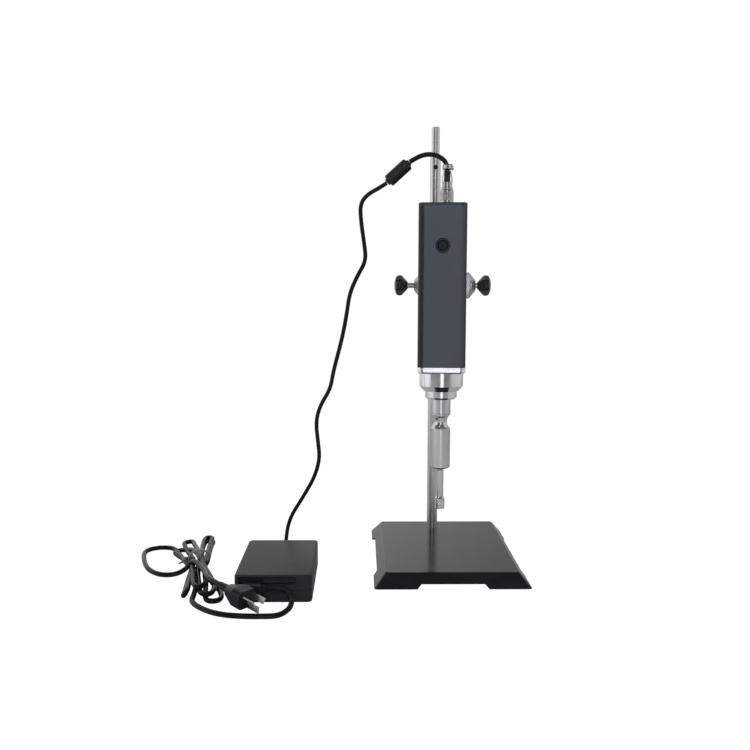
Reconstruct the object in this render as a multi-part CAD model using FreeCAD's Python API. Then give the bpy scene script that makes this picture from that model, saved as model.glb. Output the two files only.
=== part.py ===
import FreeCAD, Part
import math
import os
from FreeCAD import Vector

# Bench ultrasonic cell disruptor: a sonicator head held by a boss-head clamp on a telescoping
# lab stand, with its power adapter and mains lead. Millimetres, +Z up. The origin is the centre
# of the stand base's footprint on the table, -Y is the front.

# Fits
running = 0.05            # radial clearance of a turning or sliding fit
hairline = 0.02           # radial clearance of a fixed fit
seam = 0.3                # gap between parts that only lie beside each other

# Stand base
base_width = 154.0
base_depth = 210.0
base_top = 14.0           # height of the plate's upper face
skirt_run = 11.2          # how far the skirts slope in on each side
base_corner = 4.0
base_wall = 2.8
foot_proud = 0.6          # rubber feet below the skirt
foot_radius = 7.0
foot_recess = 1.0
foot_inset = 12.0         # foot centre from the footprint's edges
arch_front = 62.0         # flat length of the raised edge, front and back
arch_side = 118.0
arch_rise = 4.0
rib_thick = 2.2
rib_depth = 5.5
rib_rows = 4
rib_columns = 2

# Column
column_x = -7.0
column_y = 70.0
column_radius = 6.0
column_bore = 4.55        # inner radius of the lower tube
column_top = 438.0
stud_radius = 4.0
plug_length = 22.0        # of the stud's head, inside the tube
boss_radius = 13.0        # under the plate, round the stud
washer_radius = 9.5
washer_thick = 1.5
nut_height = 5.5
nut_flats = 13.0
rod_radius = column_bore - running
rod_top = 469.7
rod_gap = 41.7            # from the stud's head up to the rod's lower end
rod_chamfer = 0.8
lock_z = 425.3
lock_radius = 2.5
lock_head_radius = 3.4
lock_head_length = 2.2
lock_socket_flats = 2.5

# Clamp: turned a little about the column, so the head's front looks at the user
swing_deg = 4.7
clamp_z = 294.2
clamp_left = -23.0        # ends of the casting, measured from the column's axis
clamp_right = 46.5
clamp_half_height = 14.6
clamp_half_depth = 14.0
clamp_taper = 8.5         # length of each coned end
clamp_end_radius = 5.6
clamp_edge = 2.0
slot_width = 2.6          # sight slot over the right screw
slot_height = 7.5
slot_depth = 5.0
post_offset = 16.0        # the post's axis beside the column's axis
screw_radius = 2.95
screw_point = 1.2
neck_gap_left = 7.1       # bare screw between casting and knob
neck_gap_right = 2.0
knob_radius = 12.0
knob_length = 15.2
knob_neck_radius = 3.9
knob_cone = 7.0
knob_bore_depth = 10.0
knob_lobes = 6
lobe_cut_radius = 5.2
lobe_cut_centre = 15.4

# Sonicator head, measured from the column's axis in the clamp's own directions
head_x = 7.6
head_y = -107.8
head_size = 48.0
head_corner = 6.0
head_wall = 2.5
head_back_wall = 4.0
cover_top = 374.5
cover_thick = 3.0
housing_bottom = 212.0
plate_thick = 6.0
plate_chamfer = 1.4
port_radius = 3.4         # screw ports in the extrusion's corners
port_inset = 5.6
port_hole = 1.25
cover_screw_radius = 1.2
cover_screw_head = 2.7
cover_screw_length = 9.0

# Post plate on the head's back
post_radius = 5.0
post_back = 20.0          # the post's free end, behind the column's axis
back_plate_width = 40.0
back_plate_height = 60.0
back_plate_thick = 5.0
back_plate_corner = 5.0
post_boss_radius = 9.0
post_boss_length = 7.0
back_screw_pitch_x = 30.0
back_screw_pitch_z = 48.0
back_screw_radius = 1.95
back_screw_head = 3.5
back_screw_head_length = 4.0

# Nose below the head
collar_radius = 22.5
collar_bottom = 187.0
collar_cone_top = 192.3
collar_cone_radius = 18.0
collar_floor = 3.0
collar_bore = 17.5
nut_bore = 14.0           # the retaining nut's thread in the collar
nut_radius = 16.25
nut_bottom = 178.6
nut_cone = 1.9
nut_opening = 11.0
seal_section = 0.75       # radius of the sealing rings' section
flange_radius = 17.0
flange_thick = 4.0
sleeve_wall = 2.0
plate_bore = 16.5

# Transducer and horn
mass_radius = 15.0
front_mass_top = 214.0
disc_thick = 4.5
disc_count = 4
disc_bore = 4.8
electrode_thick = 0.3
electrode_tab = 5.0
rear_mass_length = 20.0
bolt_radius = 4.0
bolt_head_radius = 6.5
bolt_head_length = 8.0
bolt_depth = 12.0
booster_radius = 10.0
booster_bottom = 163.3
neck_bottom = 148.0
neck_radius = 6.6
horn_radius = 10.0
horn_shoulder = 107.0
probe_radius = 3.65
probe_fillet = 3.0
tip_top = 77.0
tip_bottom = 64.0
tip_radius = 5.0
tip_stud_radius = 2.0
tip_stud_length = 6.0
joint_stud_radius = 4.0
joint_stud_length = 16.0

# Push button in the head's front
button_z = 332.7
bezel_radius = 6.3
bezel_thick = 0.9
bezel_barrel = 5.4
button_radius = 4.6
button_proud = 2.2
button_travel = 1.5
button_length = 5.0
button_nut_flats = 14.0
button_nut_height = 2.0
switch_size = 11.0
switch_depth = 7.0
spring_radius = 3.0
spring_wire = 0.35
spring_turns = 3
spring_slack = 0.05

# Driver electronics inside the head
board_y = 8.0             # front face of the board behind the head's centre
board_width = 36.0
board_bottom = 268.0
board_top = 360.0
board_thick = 1.6
standoff_radius = 2.5
standoff_inset = 8.0
coil_major = 8.0
coil_minor = 3.6
coil_z = 286.0
capacitor_radius = 5.0
capacitor_length = 18.0
capacitor_pitch = 12.0
capacitor_z = 301.0
driver_width = 10.0
driver_height = 15.0
driver_thick = 4.5
driver_pitch = 16.0
driver_z = 340.0

# Circular connector on the top cover
connector_offset = 4.0    # its axis beside the head's centre
socket_radius = 6.0
socket_neck = 5.2
socket_bore = 4.2
socket_flange = 7.0
socket_flange_thick = 1.2
socket_depth = 9.0        # below the top cover's upper face
socket_reach = 9.5        # above it
socket_nut_flats = 15.0
socket_nut_height = 2.4
insert_length = 10.0
pin_radius = 0.6
pin_length = 5.0
pin_circle = 2.4
pin_count = 4
ring_radius = 6.6
ring_bottom = 376.0
ring_top = 388.4
ring_lip = 1.2
ring_flutes = 20
ring_flute_radius = 0.7
shoulder_radius = 5.0
plug_neck = 4.4
plug_band_radius = 6.2
plug_band_length = 2.6
plug_radius = 5.3
plug_top = 402.0
arm_top = 413.6
arm_width = 5.4
arm_thick = 1.2
arm_pinch_z = 406.6       # where the arms have closed in on the cord
arm_clearance = 0.7
saddle_gap = 0.25
saddle_screw_radius = 0.85
saddle_screw_head = 1.5
saddle_screw_pitch = 8.4
saddle_wing = 12.6
sleeve_bottom = 394.4
sleeve_top = 407.2
sleeve_bottom_radius = 3.3
sleeve_top_radius = 2.9

# Output cord: thick from the plug to the moulded ferrite bead, thinner from there down
upper_cord_radius = 2.4
cord_radius = 2.1
bead_radius = 6.45
bead_edge = 0.9
bead_nose = 2.0           # short neck at each end
bead_nose_radius = 3.5
bead_start_gap = 0.6      # to the cords, which arrive and leave at an angle
bead_end_gap = 0.6
upper_route = [
    (-4.6, -38.3, 414.9), (-10.6, -38.1, 420.8), (-18.6, -38.0, 423.8),
    (-27.8, -38.0, 423.3), (-35.6, -38.0, 420.0), (-41.8, -38.0, 416.1),
]
lower_route = [
    (-64.7, -38.0, 395.3), (-71.8, -38.0, 390.6), (-84.0, -38.0, 384.0),
    (-91.2, -38.0, 374.5), (-90.3, -38.0, 357.0), (-86.8, -38.0, 334.0),
    (-85.2, -38.0, 318.0), (-94.5, -38.0, 302.0), (-101.8, -38.0, 285.0),
    (-104.6, -38.0, 265.0), (-109.0, -37.6, 241.0), (-118.5, -34.5, 205.5),
    (-121.5, -32.0, 187.5), (-132.5, -29.0, 169.5), (-137.0, -26.5, 152.0),
    (-134.5, -23.0, 128.0), (-133.3, -20.0, 112.0), (-139.0, -15.5, 92.0),
    (-147.5, -9.0, 76.0), (-156.0, 1.0, 60.5), (-164.5, 8.5, 46.0),
    (-169.3, 12.5, 33.5), (-171.2, 11.3, 23.0), (-171.5, 5.0, 15.5),
    (-171.5, -4.0, 12.6),
]

# Power adapter
adapter_left = -207.0
adapter_right = -135.0
adapter_front = -140.0
adapter_back = -26.0
adapter_height = 27.0
adapter_corner = 9.0      # rounding of the four upright edges
adapter_edge = 3.0
adapter_wall = 2.2
adapter_split = 12.5      # height of the seam between the shells
adapter_foot = 0.8
adapter_foot_radius = 5.0
adapter_foot_inset = 13.0
relief_x = -171.5
relief_length = 14.0
relief_z = 13.5
relief_root = 4.6
recess_depth = 2.4
recess_low = 20.0
recess_high = 25.4
recess_left = 4.0         # from the adapter's left side
recess_right = 15.0       # from its right side
inlet_x = -188.0
inlet_z = 11.0
inlet_width = 18.0
inlet_height = 11.0
inlet_depth = 17.0
inlet_wall = 1.4
inlet_pin_radius = 1.15
inlet_pin_length = 10.0
inlet_pin_pitch = 8.6
adapter_board_z = 5.0
adapter_board_thick = 1.6
core_size = (30.0, 26.0, 15.0)
core_leg = 5.0
winding_radius = 9.5
adapter_cap_radius = 6.5
adapter_cap_length = 24.0
sink_thick = 1.5
sink_height = 14.0
sink_length = 52.0

# Mains lead: connector, tied hank with one loose loop, plug
lead_radius = 2.5
connector_width = 16.0
connector_height = 16.0
connector_length = 13.0
connector_rise = 2.5      # its centre above the inlet's
nose_width = 14.0
nose_height = 7.0
side_relief_length = 4.0
side_relief_root = 4.4
side_relief_tip = 3.1
side_relief_rise = 5.5    # its axis above the inlet's
hank_low = 10.0           # height of the hank's wide lower layer
hank_high = 16.0
hank_step = 3.0           # how much narrower its upper layer is
hank_tie = (-257.5, -40.0)
hank_tie_radius = 9.0
hank_lobes = [((-233.5, -126.0), 15.0), ((-254.5, -120.0), 5.2),
              ((-279.0, 20.0), 8.0), ((-262.0, 43.0), 6.3)]
tie_width = 5.0
tie_thick = 1.2
tie_turn_deg = 14.0       # the hank's direction at the tie, from +Y towards -X
tie_tail_radius = 0.8
tie_tail_length = 13.0
start_route = [
    (-162.0, -147.0, 16.5), (-152.2, -155.9, 12.4), (-152.2, -168.5, 6.7),
    (-162.0, -177.4, 2.7), (-177.6, -178.4, 2.7), (-193.5, -178.0, 2.7),
    (-209.5, -175.2, 2.7), (-224.0, -168.0, 2.7), (-236.2, -156.5, 2.8),
    (-243.6, -146.5, 3.0), (-246.4, -138.8, 3.2),
]
loop_route = [
    (-271.4, -36.2, 5.0), (-279.6, -15.9, 3.3), (-287.4, 3.4, 2.7), (-295.7, 22.6, 2.7),
    (-308.1, 27.9, 2.7), (-320.8, 23.5, 2.7), (-327.0, 11.6, 2.7), (-322.6, -9.5, 2.7),
    (-316.0, -31.0, 2.7), (-307.0, -51.0, 2.7), (-293.5, -65.5, 2.7), (-278.5, -68.2, 3.2),
    (-267.6, -63.0, 4.4),
]
end_route = [
    (-226.4, -137.6, 20.9), (-232.0, -129.4, 20.5), (-235.6, -120.6, 19.4),
]

# Mains plug, lying in front of the adapter with its face turned down
mains_plug_face = (-191.2, -169.0, 14.8)
mains_plug_axis = (0.74, -0.62, -0.14)
mains_plug_width = 20.0
mains_plug_height = 17.0
mains_plug_length = 24.0
mains_plug_neck_width = 11.0
mains_plug_neck_height = 10.0
mains_plug_corner = 4.0
mains_relief_length = 13.0
mains_relief_root = 4.2
mains_relief_tip = 3.1
mains_pin_length = 16.0
mains_pin_width = 5.6
mains_pin_thick = 1.5
mains_pin_spread = 6.0
mains_pin_lift = 2.6
mains_pin_drop = 4.4
mains_pin_lean = 30.0

nodes = {}


def keep(name, *solids):
    """Adds solids to a node."""
    nodes.setdefault(name, []).extend(solids)


def swung(shape):
    """From the clamp's directions about the column to the stand's."""
    turned = shape.copy()
    turned.translate(Vector(column_x, column_y, 0))
    turned.rotate(Vector(column_x, column_y, 0), Vector(0, 0, 1), -swing_deg)
    return turned


def keep_swung(name, *solids):
    keep(name, *[swung(s) for s in solids])


def cord_exit():
    """Top of the plug's cord sleeve, where the upper cord starts."""
    angle = math.radians(swing_deg)
    x, y = head_x + connector_offset, head_y
    return (column_x + x * math.cos(angle) + y * math.sin(angle),
            column_y - x * math.sin(angle) + y * math.cos(angle), sleeve_top + seam)


def relief_tip():
    return (relief_x, adapter_back + relief_length + seam, relief_z)


def connector_exit():
    return (inlet_x + connector_width / 2 + side_relief_length + seam, connector_axis_y(),
            inlet_z + side_relief_rise)


def connector_axis_y():
    return adapter_front - seam - connector_length / 2


def plug_exit():
    """Rear end of the mains plug's relief."""
    back = mains_plug_length + mains_relief_length + seam
    axis = Vector(*mains_plug_axis).normalize()
    return tuple(Vector(*mains_plug_face) - axis * back)


def box(x0, x1, y0, y1, z0, z1):
    return Part.makeBox(x1 - x0, y1 - y0, z1 - z0, Vector(x0, y0, z0))


def cylinder(radius, start, along, length):
    return Part.makeCylinder(radius, length, Vector(*start), Vector(*along))


def ring(outer, inner, start, along, length):
    return cylinder(outer, start, along, length).cut(cylinder(inner, start, along, length))


def turned(profile, x, y):
    """Solid of revolution about the upright line through x, y from (radius, height) points."""
    points = [Vector(r, 0, z) for r, z in profile]
    wire = Part.makePolygon(points + points[:1])
    solid = Part.Face(wire).revolve(Vector(0, 0, 0), Vector(0, 0, 1), 360)
    solid.translate(Vector(x, y, 0))
    return solid


def rounded_wire(width, depth, radius, z, x=0.0, y=0.0):
    """Rectangle with round corners, centred on x, y."""
    a, b = width / 2, depth / 2
    k = radius * (1 - math.sqrt(0.5))
    spots = [((a, -b + radius), (a, b - radius)), ((a - radius, b), (-a + radius, b)),
             ((-a, b - radius), (-a, -b + radius)), ((-a + radius, -b), (a - radius, -b))]
    middles = [(a - k, b - k), (-a + k, b - k), (-a + k, -b + k), (a - k, -b + k)]
    edges = []
    for i, (start, end) in enumerate(spots):
        following = spots[(i + 1) % 4][0]
        edges.append(Part.makeLine(Vector(x + start[0], y + start[1], z),
                                   Vector(x + end[0], y + end[1], z)))
        edges.append(Part.Arc(Vector(x + end[0], y + end[1], z),
                              Vector(x + middles[i][0], y + middles[i][1], z),
                              Vector(x + following[0], y + following[1], z)).toShape())
    return Part.Wire(edges)


def rounded_block(width, depth, radius, z0, z1, x=0.0, y=0.0):
    return Part.Face(rounded_wire(width, depth, radius, z0, x, y)).extrude(Vector(0, 0, z1 - z0))


def hexagon(flats, start, along, length):
    """Hexagonal prism by its width across flats."""
    radius = flats / math.sqrt(3)
    corners = [Vector(radius * math.cos(math.radians(60 * i)), radius * math.sin(math.radians(60 * i)), 0)
               for i in range(7)]
    prism = Part.Face(Part.makePolygon(corners)).extrude(Vector(0, 0, length))
    prism.Placement = FreeCAD.Placement(Vector(*start), FreeCAD.Rotation(Vector(0, 0, 1), Vector(*along)))
    return prism


def edges_at(shape, z, tolerance=1e-3):
    """The edges that lie at one height."""
    return [e for e in shape.Edges
            if abs(e.BoundBox.ZMin - z) < tolerance and abs(e.BoundBox.ZMax - z) < tolerance]


def fused(first, *others):
    whole = first.multiFuse(list(others)).removeSplitter()
    return whole


def cord_tube(name, route, radius):
    """Straight runs joined by tangent arcs, as large as the runs allow."""
    points = [Vector(*p) for p in route]
    runs = [(b - a).Length for a, b in zip(points, points[1:])]
    edges, start, radii, length = [], points[0], [], 0.0
    for i in range(1, len(points) - 1):
        into = (points[i] - points[i - 1]).normalize()
        out = (points[i + 1] - points[i]).normalize()
        turn = into.getAngle(out)
        shorter = min(runs[i - 1], runs[i])
        trim = 0.45 * shorter
        bend = trim / math.tan(turn / 2)
        radii.append(bend)
        before, after = points[i] - into * trim, points[i] + out * trim
        towards = (out - into).normalize()
        centre = points[i] + towards * (bend / math.cos(turn / 2))
        middle = centre - towards * bend
        edges.append(Part.LineSegment(start, before).toShape())
        edges.append(Part.Arc(before, middle, after).toShape())
        start = after
    edges.append(Part.LineSegment(start, points[-1]).toShape())
    path = Part.Wire(edges)
    first = (points[1] - points[0]).normalize()
    section = Part.Wire([Part.Circle(points[0], first, radius).toShape()])
    tube = path.makePipeShell([section], True, False)
    length = path.Length
    expected = math.pi * radius ** 2 * length
    print(f"{name}: length {length:.1f}, volume ratio {tube.Volume / expected:.4f}, valid {tube.isValid()},"
          f" smallest radius {min(radii):.1f}, radii", [round(r, 1) for r in radii])
    keep(name, Part.Solid(tube) if tube.ShapeType != "Solid" else tube)


def base():
    """Moulded foot: sloping skirts, raised edges between the feet, ribs underneath."""
    skirt_bottom = foot_proud
    top_width, top_depth = base_width - 2 * skirt_run, base_depth - 2 * skirt_run
    outer = Part.makeLoft([rounded_wire(base_width, base_depth, base_corner, skirt_bottom),
                           rounded_wire(top_width, top_depth, base_corner, base_top)], True, True)
    outer = outer.makeFillet(1.2, edges_at(outer, base_top))
    wall = base_wall
    under = base_top - wall
    slope = skirt_run / (base_top - skirt_bottom)
    inner = Part.makeLoft([
        rounded_wire(base_width - 2 * wall - 0.6, base_depth - 2 * wall - 0.6, base_corner - wall / 2,
                     skirt_bottom),
        rounded_wire(base_width - 2 * (slope * (under - skirt_bottom) + wall),
                     base_depth - 2 * (slope * (under - skirt_bottom) + wall),
                     base_corner - wall / 2, under)], True, True)
    shell = outer.cut(inner)
    ribs = []
    rib_low = under - rib_depth
    for i in range(rib_rows):
        y = -base_depth / 2 + (i + 1) * base_depth / (rib_rows + 1)
        ribs.append(box(-base_width / 2, base_width / 2, y - rib_thick / 2, y + rib_thick / 2, rib_low,
                        under))
    for i in range(rib_columns):
        x = -base_width / 2 + (i + 1) * base_width / (rib_columns + 1)
        ribs.append(box(x - rib_thick / 2, x + rib_thick / 2, -base_depth / 2, base_depth / 2, rib_low,
                        under))
    ribs.append(cylinder(boss_radius, (column_x, column_y, rib_low), (0, 0, 1), under - rib_low))
    for x, y in foot_spots():
        ribs.append(cylinder(foot_radius + 2, (x, y, skirt_bottom), (0, 0, 1), under - skirt_bottom))
    inside = fused(*ribs).common(outer)
    inside = inside.cut(cylinder(washer_radius + 0.8, (column_x, column_y, rib_low), (0, 0, 1),
                                 under - rib_low))
    body = fused(shell, inside)
    cuts = [cylinder(stud_radius + 0.15, (column_x, column_y, 0), (0, 0, 1), base_top + 1)]
    for x, y in foot_spots():
        cuts.append(cylinder(foot_radius + hairline, (x, y, 0), (0, 0, 1), skirt_bottom + foot_recess))
    cuts += [arch(arch_front, base_depth, False), arch(arch_side, base_width, True)]
    keep("base_plate", *body.cut(cuts[0].multiFuse(cuts[1:])).Solids)


def arch(flat, across, along_x):
    """Trapezoid under the skirt's edge, from side to side of the base."""
    low, high = 0.0, foot_proud + arch_rise
    half = flat / 2
    slant = arch_rise
    outline = [Vector(-half - slant - foot_proud, 0, low), Vector(half + slant + foot_proud, 0, low),
               Vector(half, 0, high), Vector(-half, 0, high)]
    face = Part.Face(Part.makePolygon(outline + outline[:1]))
    prism = face.extrude(Vector(0, across + 2, 0))
    prism.translate(Vector(0, -across / 2 - 1, 0))
    if along_x:
        prism.rotate(Vector(0, 0, 0), Vector(0, 0, 1), 90)
    return prism


def foot_spots():
    x, y = base_width / 2 - foot_inset, base_depth / 2 - foot_inset
    return [(-x, -y), (x, -y), (-x, y), (x, y)]


def feet():
    for x, y in foot_spots():
        pad = turned([(0, 0), (foot_radius - 0.8, 0), (foot_radius, 0.8),
                      (foot_radius, foot_proud + foot_recess), (0, foot_proud + foot_recess)], x, y)
        keep("base_feet", pad)


def column():
    """Lower tube on its stud, the thin rod that slides in it, and the screw that locks it."""
    place = (column_x, column_y)
    tube = turned([(column_bore, base_top), (column_radius, base_top), (column_radius, column_top - 0.6),
                   (column_radius - 0.6, column_top), (column_bore, column_top)], *place)
    hole = cylinder(lock_radius, (column_x, column_y, lock_z), (0, -1, 0), column_radius + 1)
    keep("column_tube", tube.cut(hole))

    under = base_top - base_wall
    stud_bottom = under - washer_thick - nut_height - 1.0
    keep("column_stud", turned([
        (0, stud_bottom), (stud_radius - 0.5, stud_bottom), (stud_radius, stud_bottom + 0.5),
        (stud_radius, base_top), (column_bore - hairline, base_top),
        (column_bore - hairline, base_top + plug_length), (0, base_top + plug_length)], *place))
    nut_top = under - washer_thick
    washer = ring(washer_radius, stud_radius + 0.3, (*place, nut_top), (0, 0, 1), washer_thick)
    nut = hexagon(nut_flats, (*place, nut_top - nut_height), (0, 0, 1), nut_height)
    nut = nut.cut(cylinder(stud_radius + hairline, (*place, 0), (0, 0, 1), under))
    keep("column_nut_and_washer", nut, washer)

    rod_low = base_top + plug_length + rod_gap
    keep("column_rod", turned([
        (0, rod_low), (rod_radius - rod_chamfer, rod_low),
        (rod_radius, rod_low + rod_chamfer), (rod_radius, rod_top - rod_chamfer),
        (rod_radius - rod_chamfer, rod_top), (0, rod_top)], *place))

    point = rod_radius + running
    shank = cylinder(lock_radius - running, (column_x, column_y - point, lock_z), (0, -1, 0),
                     column_radius + running - point)
    head_start = column_y - column_radius - running
    head = cylinder(lock_head_radius, (column_x, head_start, lock_z), (0, -1, 0), lock_head_length)
    head = head.makeChamfer(0.4, [e for e in head.Edges
                                  if abs(e.BoundBox.YMax - head_start + lock_head_length) < 1e-3])
    socket = hexagon(lock_socket_flats, (column_x, head_start - lock_head_length, lock_z), (0, 1, 0), 1.6)
    keep("rod_lock_screw", fused(shank, head).cut(socket))


def clamp():
    """Boss-head: an upright jaw for the column and a level jaw for the post."""
    end, taper = clamp_end_radius, clamp_taper
    wide = math.hypot(clamp_half_height, clamp_half_depth)
    profile = [Vector(clamp_left, 0, 0), Vector(clamp_left, 0, end), Vector(clamp_left + taper, 0,
                                                                            wide - 4),
               Vector(clamp_left + taper + 4, 0, wide), Vector(clamp_right - taper - 4, 0, wide),
               Vector(clamp_right - taper, 0, wide - 4), Vector(clamp_right, 0, end),
               Vector(clamp_right, 0, 0)]
    spindle = Part.Face(Part.makePolygon(profile + profile[:1])).revolve(Vector(0, 0, 0),
                                                                         Vector(1, 0, 0), 360)
    spindle.translate(Vector(0, 0, clamp_z))
    block = box(clamp_left, clamp_right, -clamp_half_depth, clamp_half_depth,
                clamp_z - clamp_half_height, clamp_z + clamp_half_height)
    along = [e for e in block.Edges if e.BoundBox.XLength > clamp_right - clamp_left - 1]
    block = block.makeFillet(5.0, along)
    casting = block.common(spindle)
    casting = casting.cut(cylinder(column_radius + running, (0, 0, clamp_z - 2 * clamp_half_height),
                                   (0, 0, 1), 4 * clamp_half_height))
    casting = casting.cut(cylinder(post_radius + running, (post_offset, -2 * clamp_half_depth, clamp_z),
                                   (0, 1, 0), 4 * clamp_half_depth))
    screw_hole = screw_radius + running
    casting = casting.cut(cylinder(screw_hole, (clamp_left - 1, 0, clamp_z), (1, 0, 0), -clamp_left))
    casting = casting.cut(cylinder(screw_hole, (clamp_right + 1, 0, clamp_z), (-1, 0, 0),
                                   clamp_right + 1 - post_offset))
    slot_x = clamp_right - 4.8
    casting = casting.cut(box(slot_x - slot_width / 2, slot_x + slot_width / 2, -clamp_half_depth - 1,
                              -clamp_half_depth + slot_depth + 6,
                              clamp_z - slot_height / 2, clamp_z + slot_height / 2))
    keep_swung("clamp_body", *casting.Solids)
    thumb_screw("left", -column_radius - running, clamp_left - neck_gap_left, -1)
    thumb_screw("right", post_offset + post_radius + running, clamp_right + neck_gap_right, 1)


def thumb_screw(side, tip, knob_start, way):
    """Screw and lobed knob, outwards from the tip along X."""
    reach = abs(knob_start - tip) + knob_bore_depth
    r = screw_radius
    profile = [Vector(0, 0, 0), Vector(0, 0, r - screw_point), Vector(screw_point, 0, r),
               Vector(reach - 0.5, 0, r), Vector(reach, 0, r - 0.5), Vector(reach, 0, 0)]
    screw = Part.Face(Part.makePolygon(profile + profile[:1])).revolve(Vector(0, 0, 0), Vector(1, 0, 0),
                                                                       360)

    neck, wide, length = knob_neck_radius, knob_radius, knob_length
    outline = [
        Part.makeLine(Vector(0, 0, 0), Vector(0, 0, neck)),
        Part.makeLine(Vector(0, 0, neck), Vector(knob_cone, 0, wide - 0.5)),
        Part.Arc(Vector(knob_cone, 0, wide - 0.5), Vector(length * 0.66, 0, wide),
                 Vector(length * 0.86, 0, wide - 1.8)).toShape(),
        Part.Arc(Vector(length * 0.86, 0, wide - 1.8), Vector(length * 0.965, 0, wide * 0.5),
                 Vector(length, 0, 0)).toShape(),
        Part.makeLine(Vector(length, 0, 0), Vector(0, 0, 0)),
    ]
    knob = Part.Face(Part.Wire(outline)).revolve(Vector(0, 0, 0), Vector(1, 0, 0), 360)
    flutes = []
    for i in range(knob_lobes):
        angle = math.radians(360 / knob_lobes * (i + 0.5))
        flutes.append(cylinder(lobe_cut_radius, (-1, lobe_cut_centre * math.cos(angle),
                                                 lobe_cut_centre * math.sin(angle)), (1, 0, 0),
                                                 length + 2))
    knob = knob.cut(flutes[0].multiFuse(flutes[1:]))
    knob = knob.cut(cylinder(r + hairline, (-1, 0, 0), (1, 0, 0), knob_bore_depth + 1 + running))
    for name, solid, start in (("clamp_screw_", screw, tip), ("clamp_knob_", knob, knob_start)):
        if way < 0:
            solid = solid.mirror(Vector(0, 0, 0), Vector(1, 0, 0))
        solid.translate(Vector(start, 0, clamp_z))
        keep_swung(name + side, solid)


def head_corners(inset):
    half = head_size / 2 - inset
    return [(head_x + i * half, head_y + j * half) for i in (-1, 1) for j in (-1, 1)]


def housing():
    """Extruded square housing with screw ports in its corners, its covers and their screws."""
    top = cover_top - cover_thick
    outer = rounded_block(head_size, head_size, head_corner, housing_bottom, top, head_x, head_y)
    inner_depth = head_size - head_wall - head_back_wall
    inner = rounded_block(head_size - 2 * head_wall, inner_depth, head_corner - head_wall,
                          housing_bottom, top, head_x, head_y + (head_wall - head_back_wall) / 2)
    ports = [cylinder(port_radius, (x, y, housing_bottom), (0, 0, 1), top - housing_bottom)
             for x, y in head_corners(port_inset)]
    inner = inner.cut(ports[0].multiFuse(ports[1:]))
    sleeve = outer.cut(inner)
    holes = [cylinder(port_hole, (x, y, housing_bottom), (0, 0, 1), top - housing_bottom)
             for x, y in head_corners(port_inset)]
    holes.append(cylinder(bezel_barrel + hairline, (head_x, head_y - head_size / 2 - 1, button_z), (0,
                                                                                                    1, 0),
                          head_wall + 3))
    for x, z in back_screw_spots():
        holes.append(cylinder(back_screw_radius + hairline, (x,
                                                             head_y + head_size / 2 - head_back_wall - 1, z),
                              (0, 1, 0), head_back_wall + 2))
    keep_swung("housing_sleeve", *sleeve.cut(holes[0].multiFuse(holes[1:])).Solids)

    cover = rounded_block(head_size, head_size, head_corner, top, cover_top, head_x, head_y)
    cover = cover.makeFillet(1.0, edges_at(cover, cover_top))
    cover = cover.cut(cylinder(socket_radius + hairline, (head_x + connector_offset, head_y, top),
                               (0, 0, 1), 9))
    cover_screws(cover_top, -1)
    keep_swung("top_cover", cut_for_screws(cover, cover_top, -1))

    plate_bottom = housing_bottom - plate_thick
    plate = rounded_block(head_size, head_size, head_corner, plate_bottom, housing_bottom, head_x, head_y)
    plate = plate.makeChamfer(plate_chamfer, edges_at(plate, plate_bottom))
    plate = plate.cut(cylinder(plate_bore, (head_x, head_y, plate_bottom - 1), (0, 0, 1), plate_thick + 2))
    cover_screws(plate_bottom, 1)
    keep_swung("bottom_plate", cut_for_screws(plate, plate_bottom, 1))


def cut_for_screws(plate, face_z, way):
    for x, y in head_corners(port_inset):
        cone = Part.makeCone(cover_screw_head + hairline, cover_screw_radius,
                             cover_screw_head - cover_screw_radius,
                             Vector(x, y, face_z), Vector(0, 0, way))
        plate = plate.cut(cone).cut(cylinder(cover_screw_radius + hairline, (x, y, face_z), (0, 0, way),
                                             12))
    return plate


def cover_screws(face_z, way):
    for x, y in head_corners(port_inset):
        cone = Part.makeCone(cover_screw_head, cover_screw_radius, cover_screw_head - cover_screw_radius,
                             Vector(x, y, face_z), Vector(0, 0, way))
        shank = cylinder(cover_screw_radius, (x, y, face_z), (0, 0, way), cover_screw_length)
        drive = hexagon(1.8, (x, y, face_z), (0, 0, way), 0.9)
        keep_swung("cover_screws", fused(cone, shank).cut(drive))


def back_screw_spots():
    x0 = head_x
    return [(x0 + i * back_screw_pitch_x / 2, clamp_z + j * back_screw_pitch_z / 2) for i in (-1, 1)
            for j in (-1, 1)]


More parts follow.
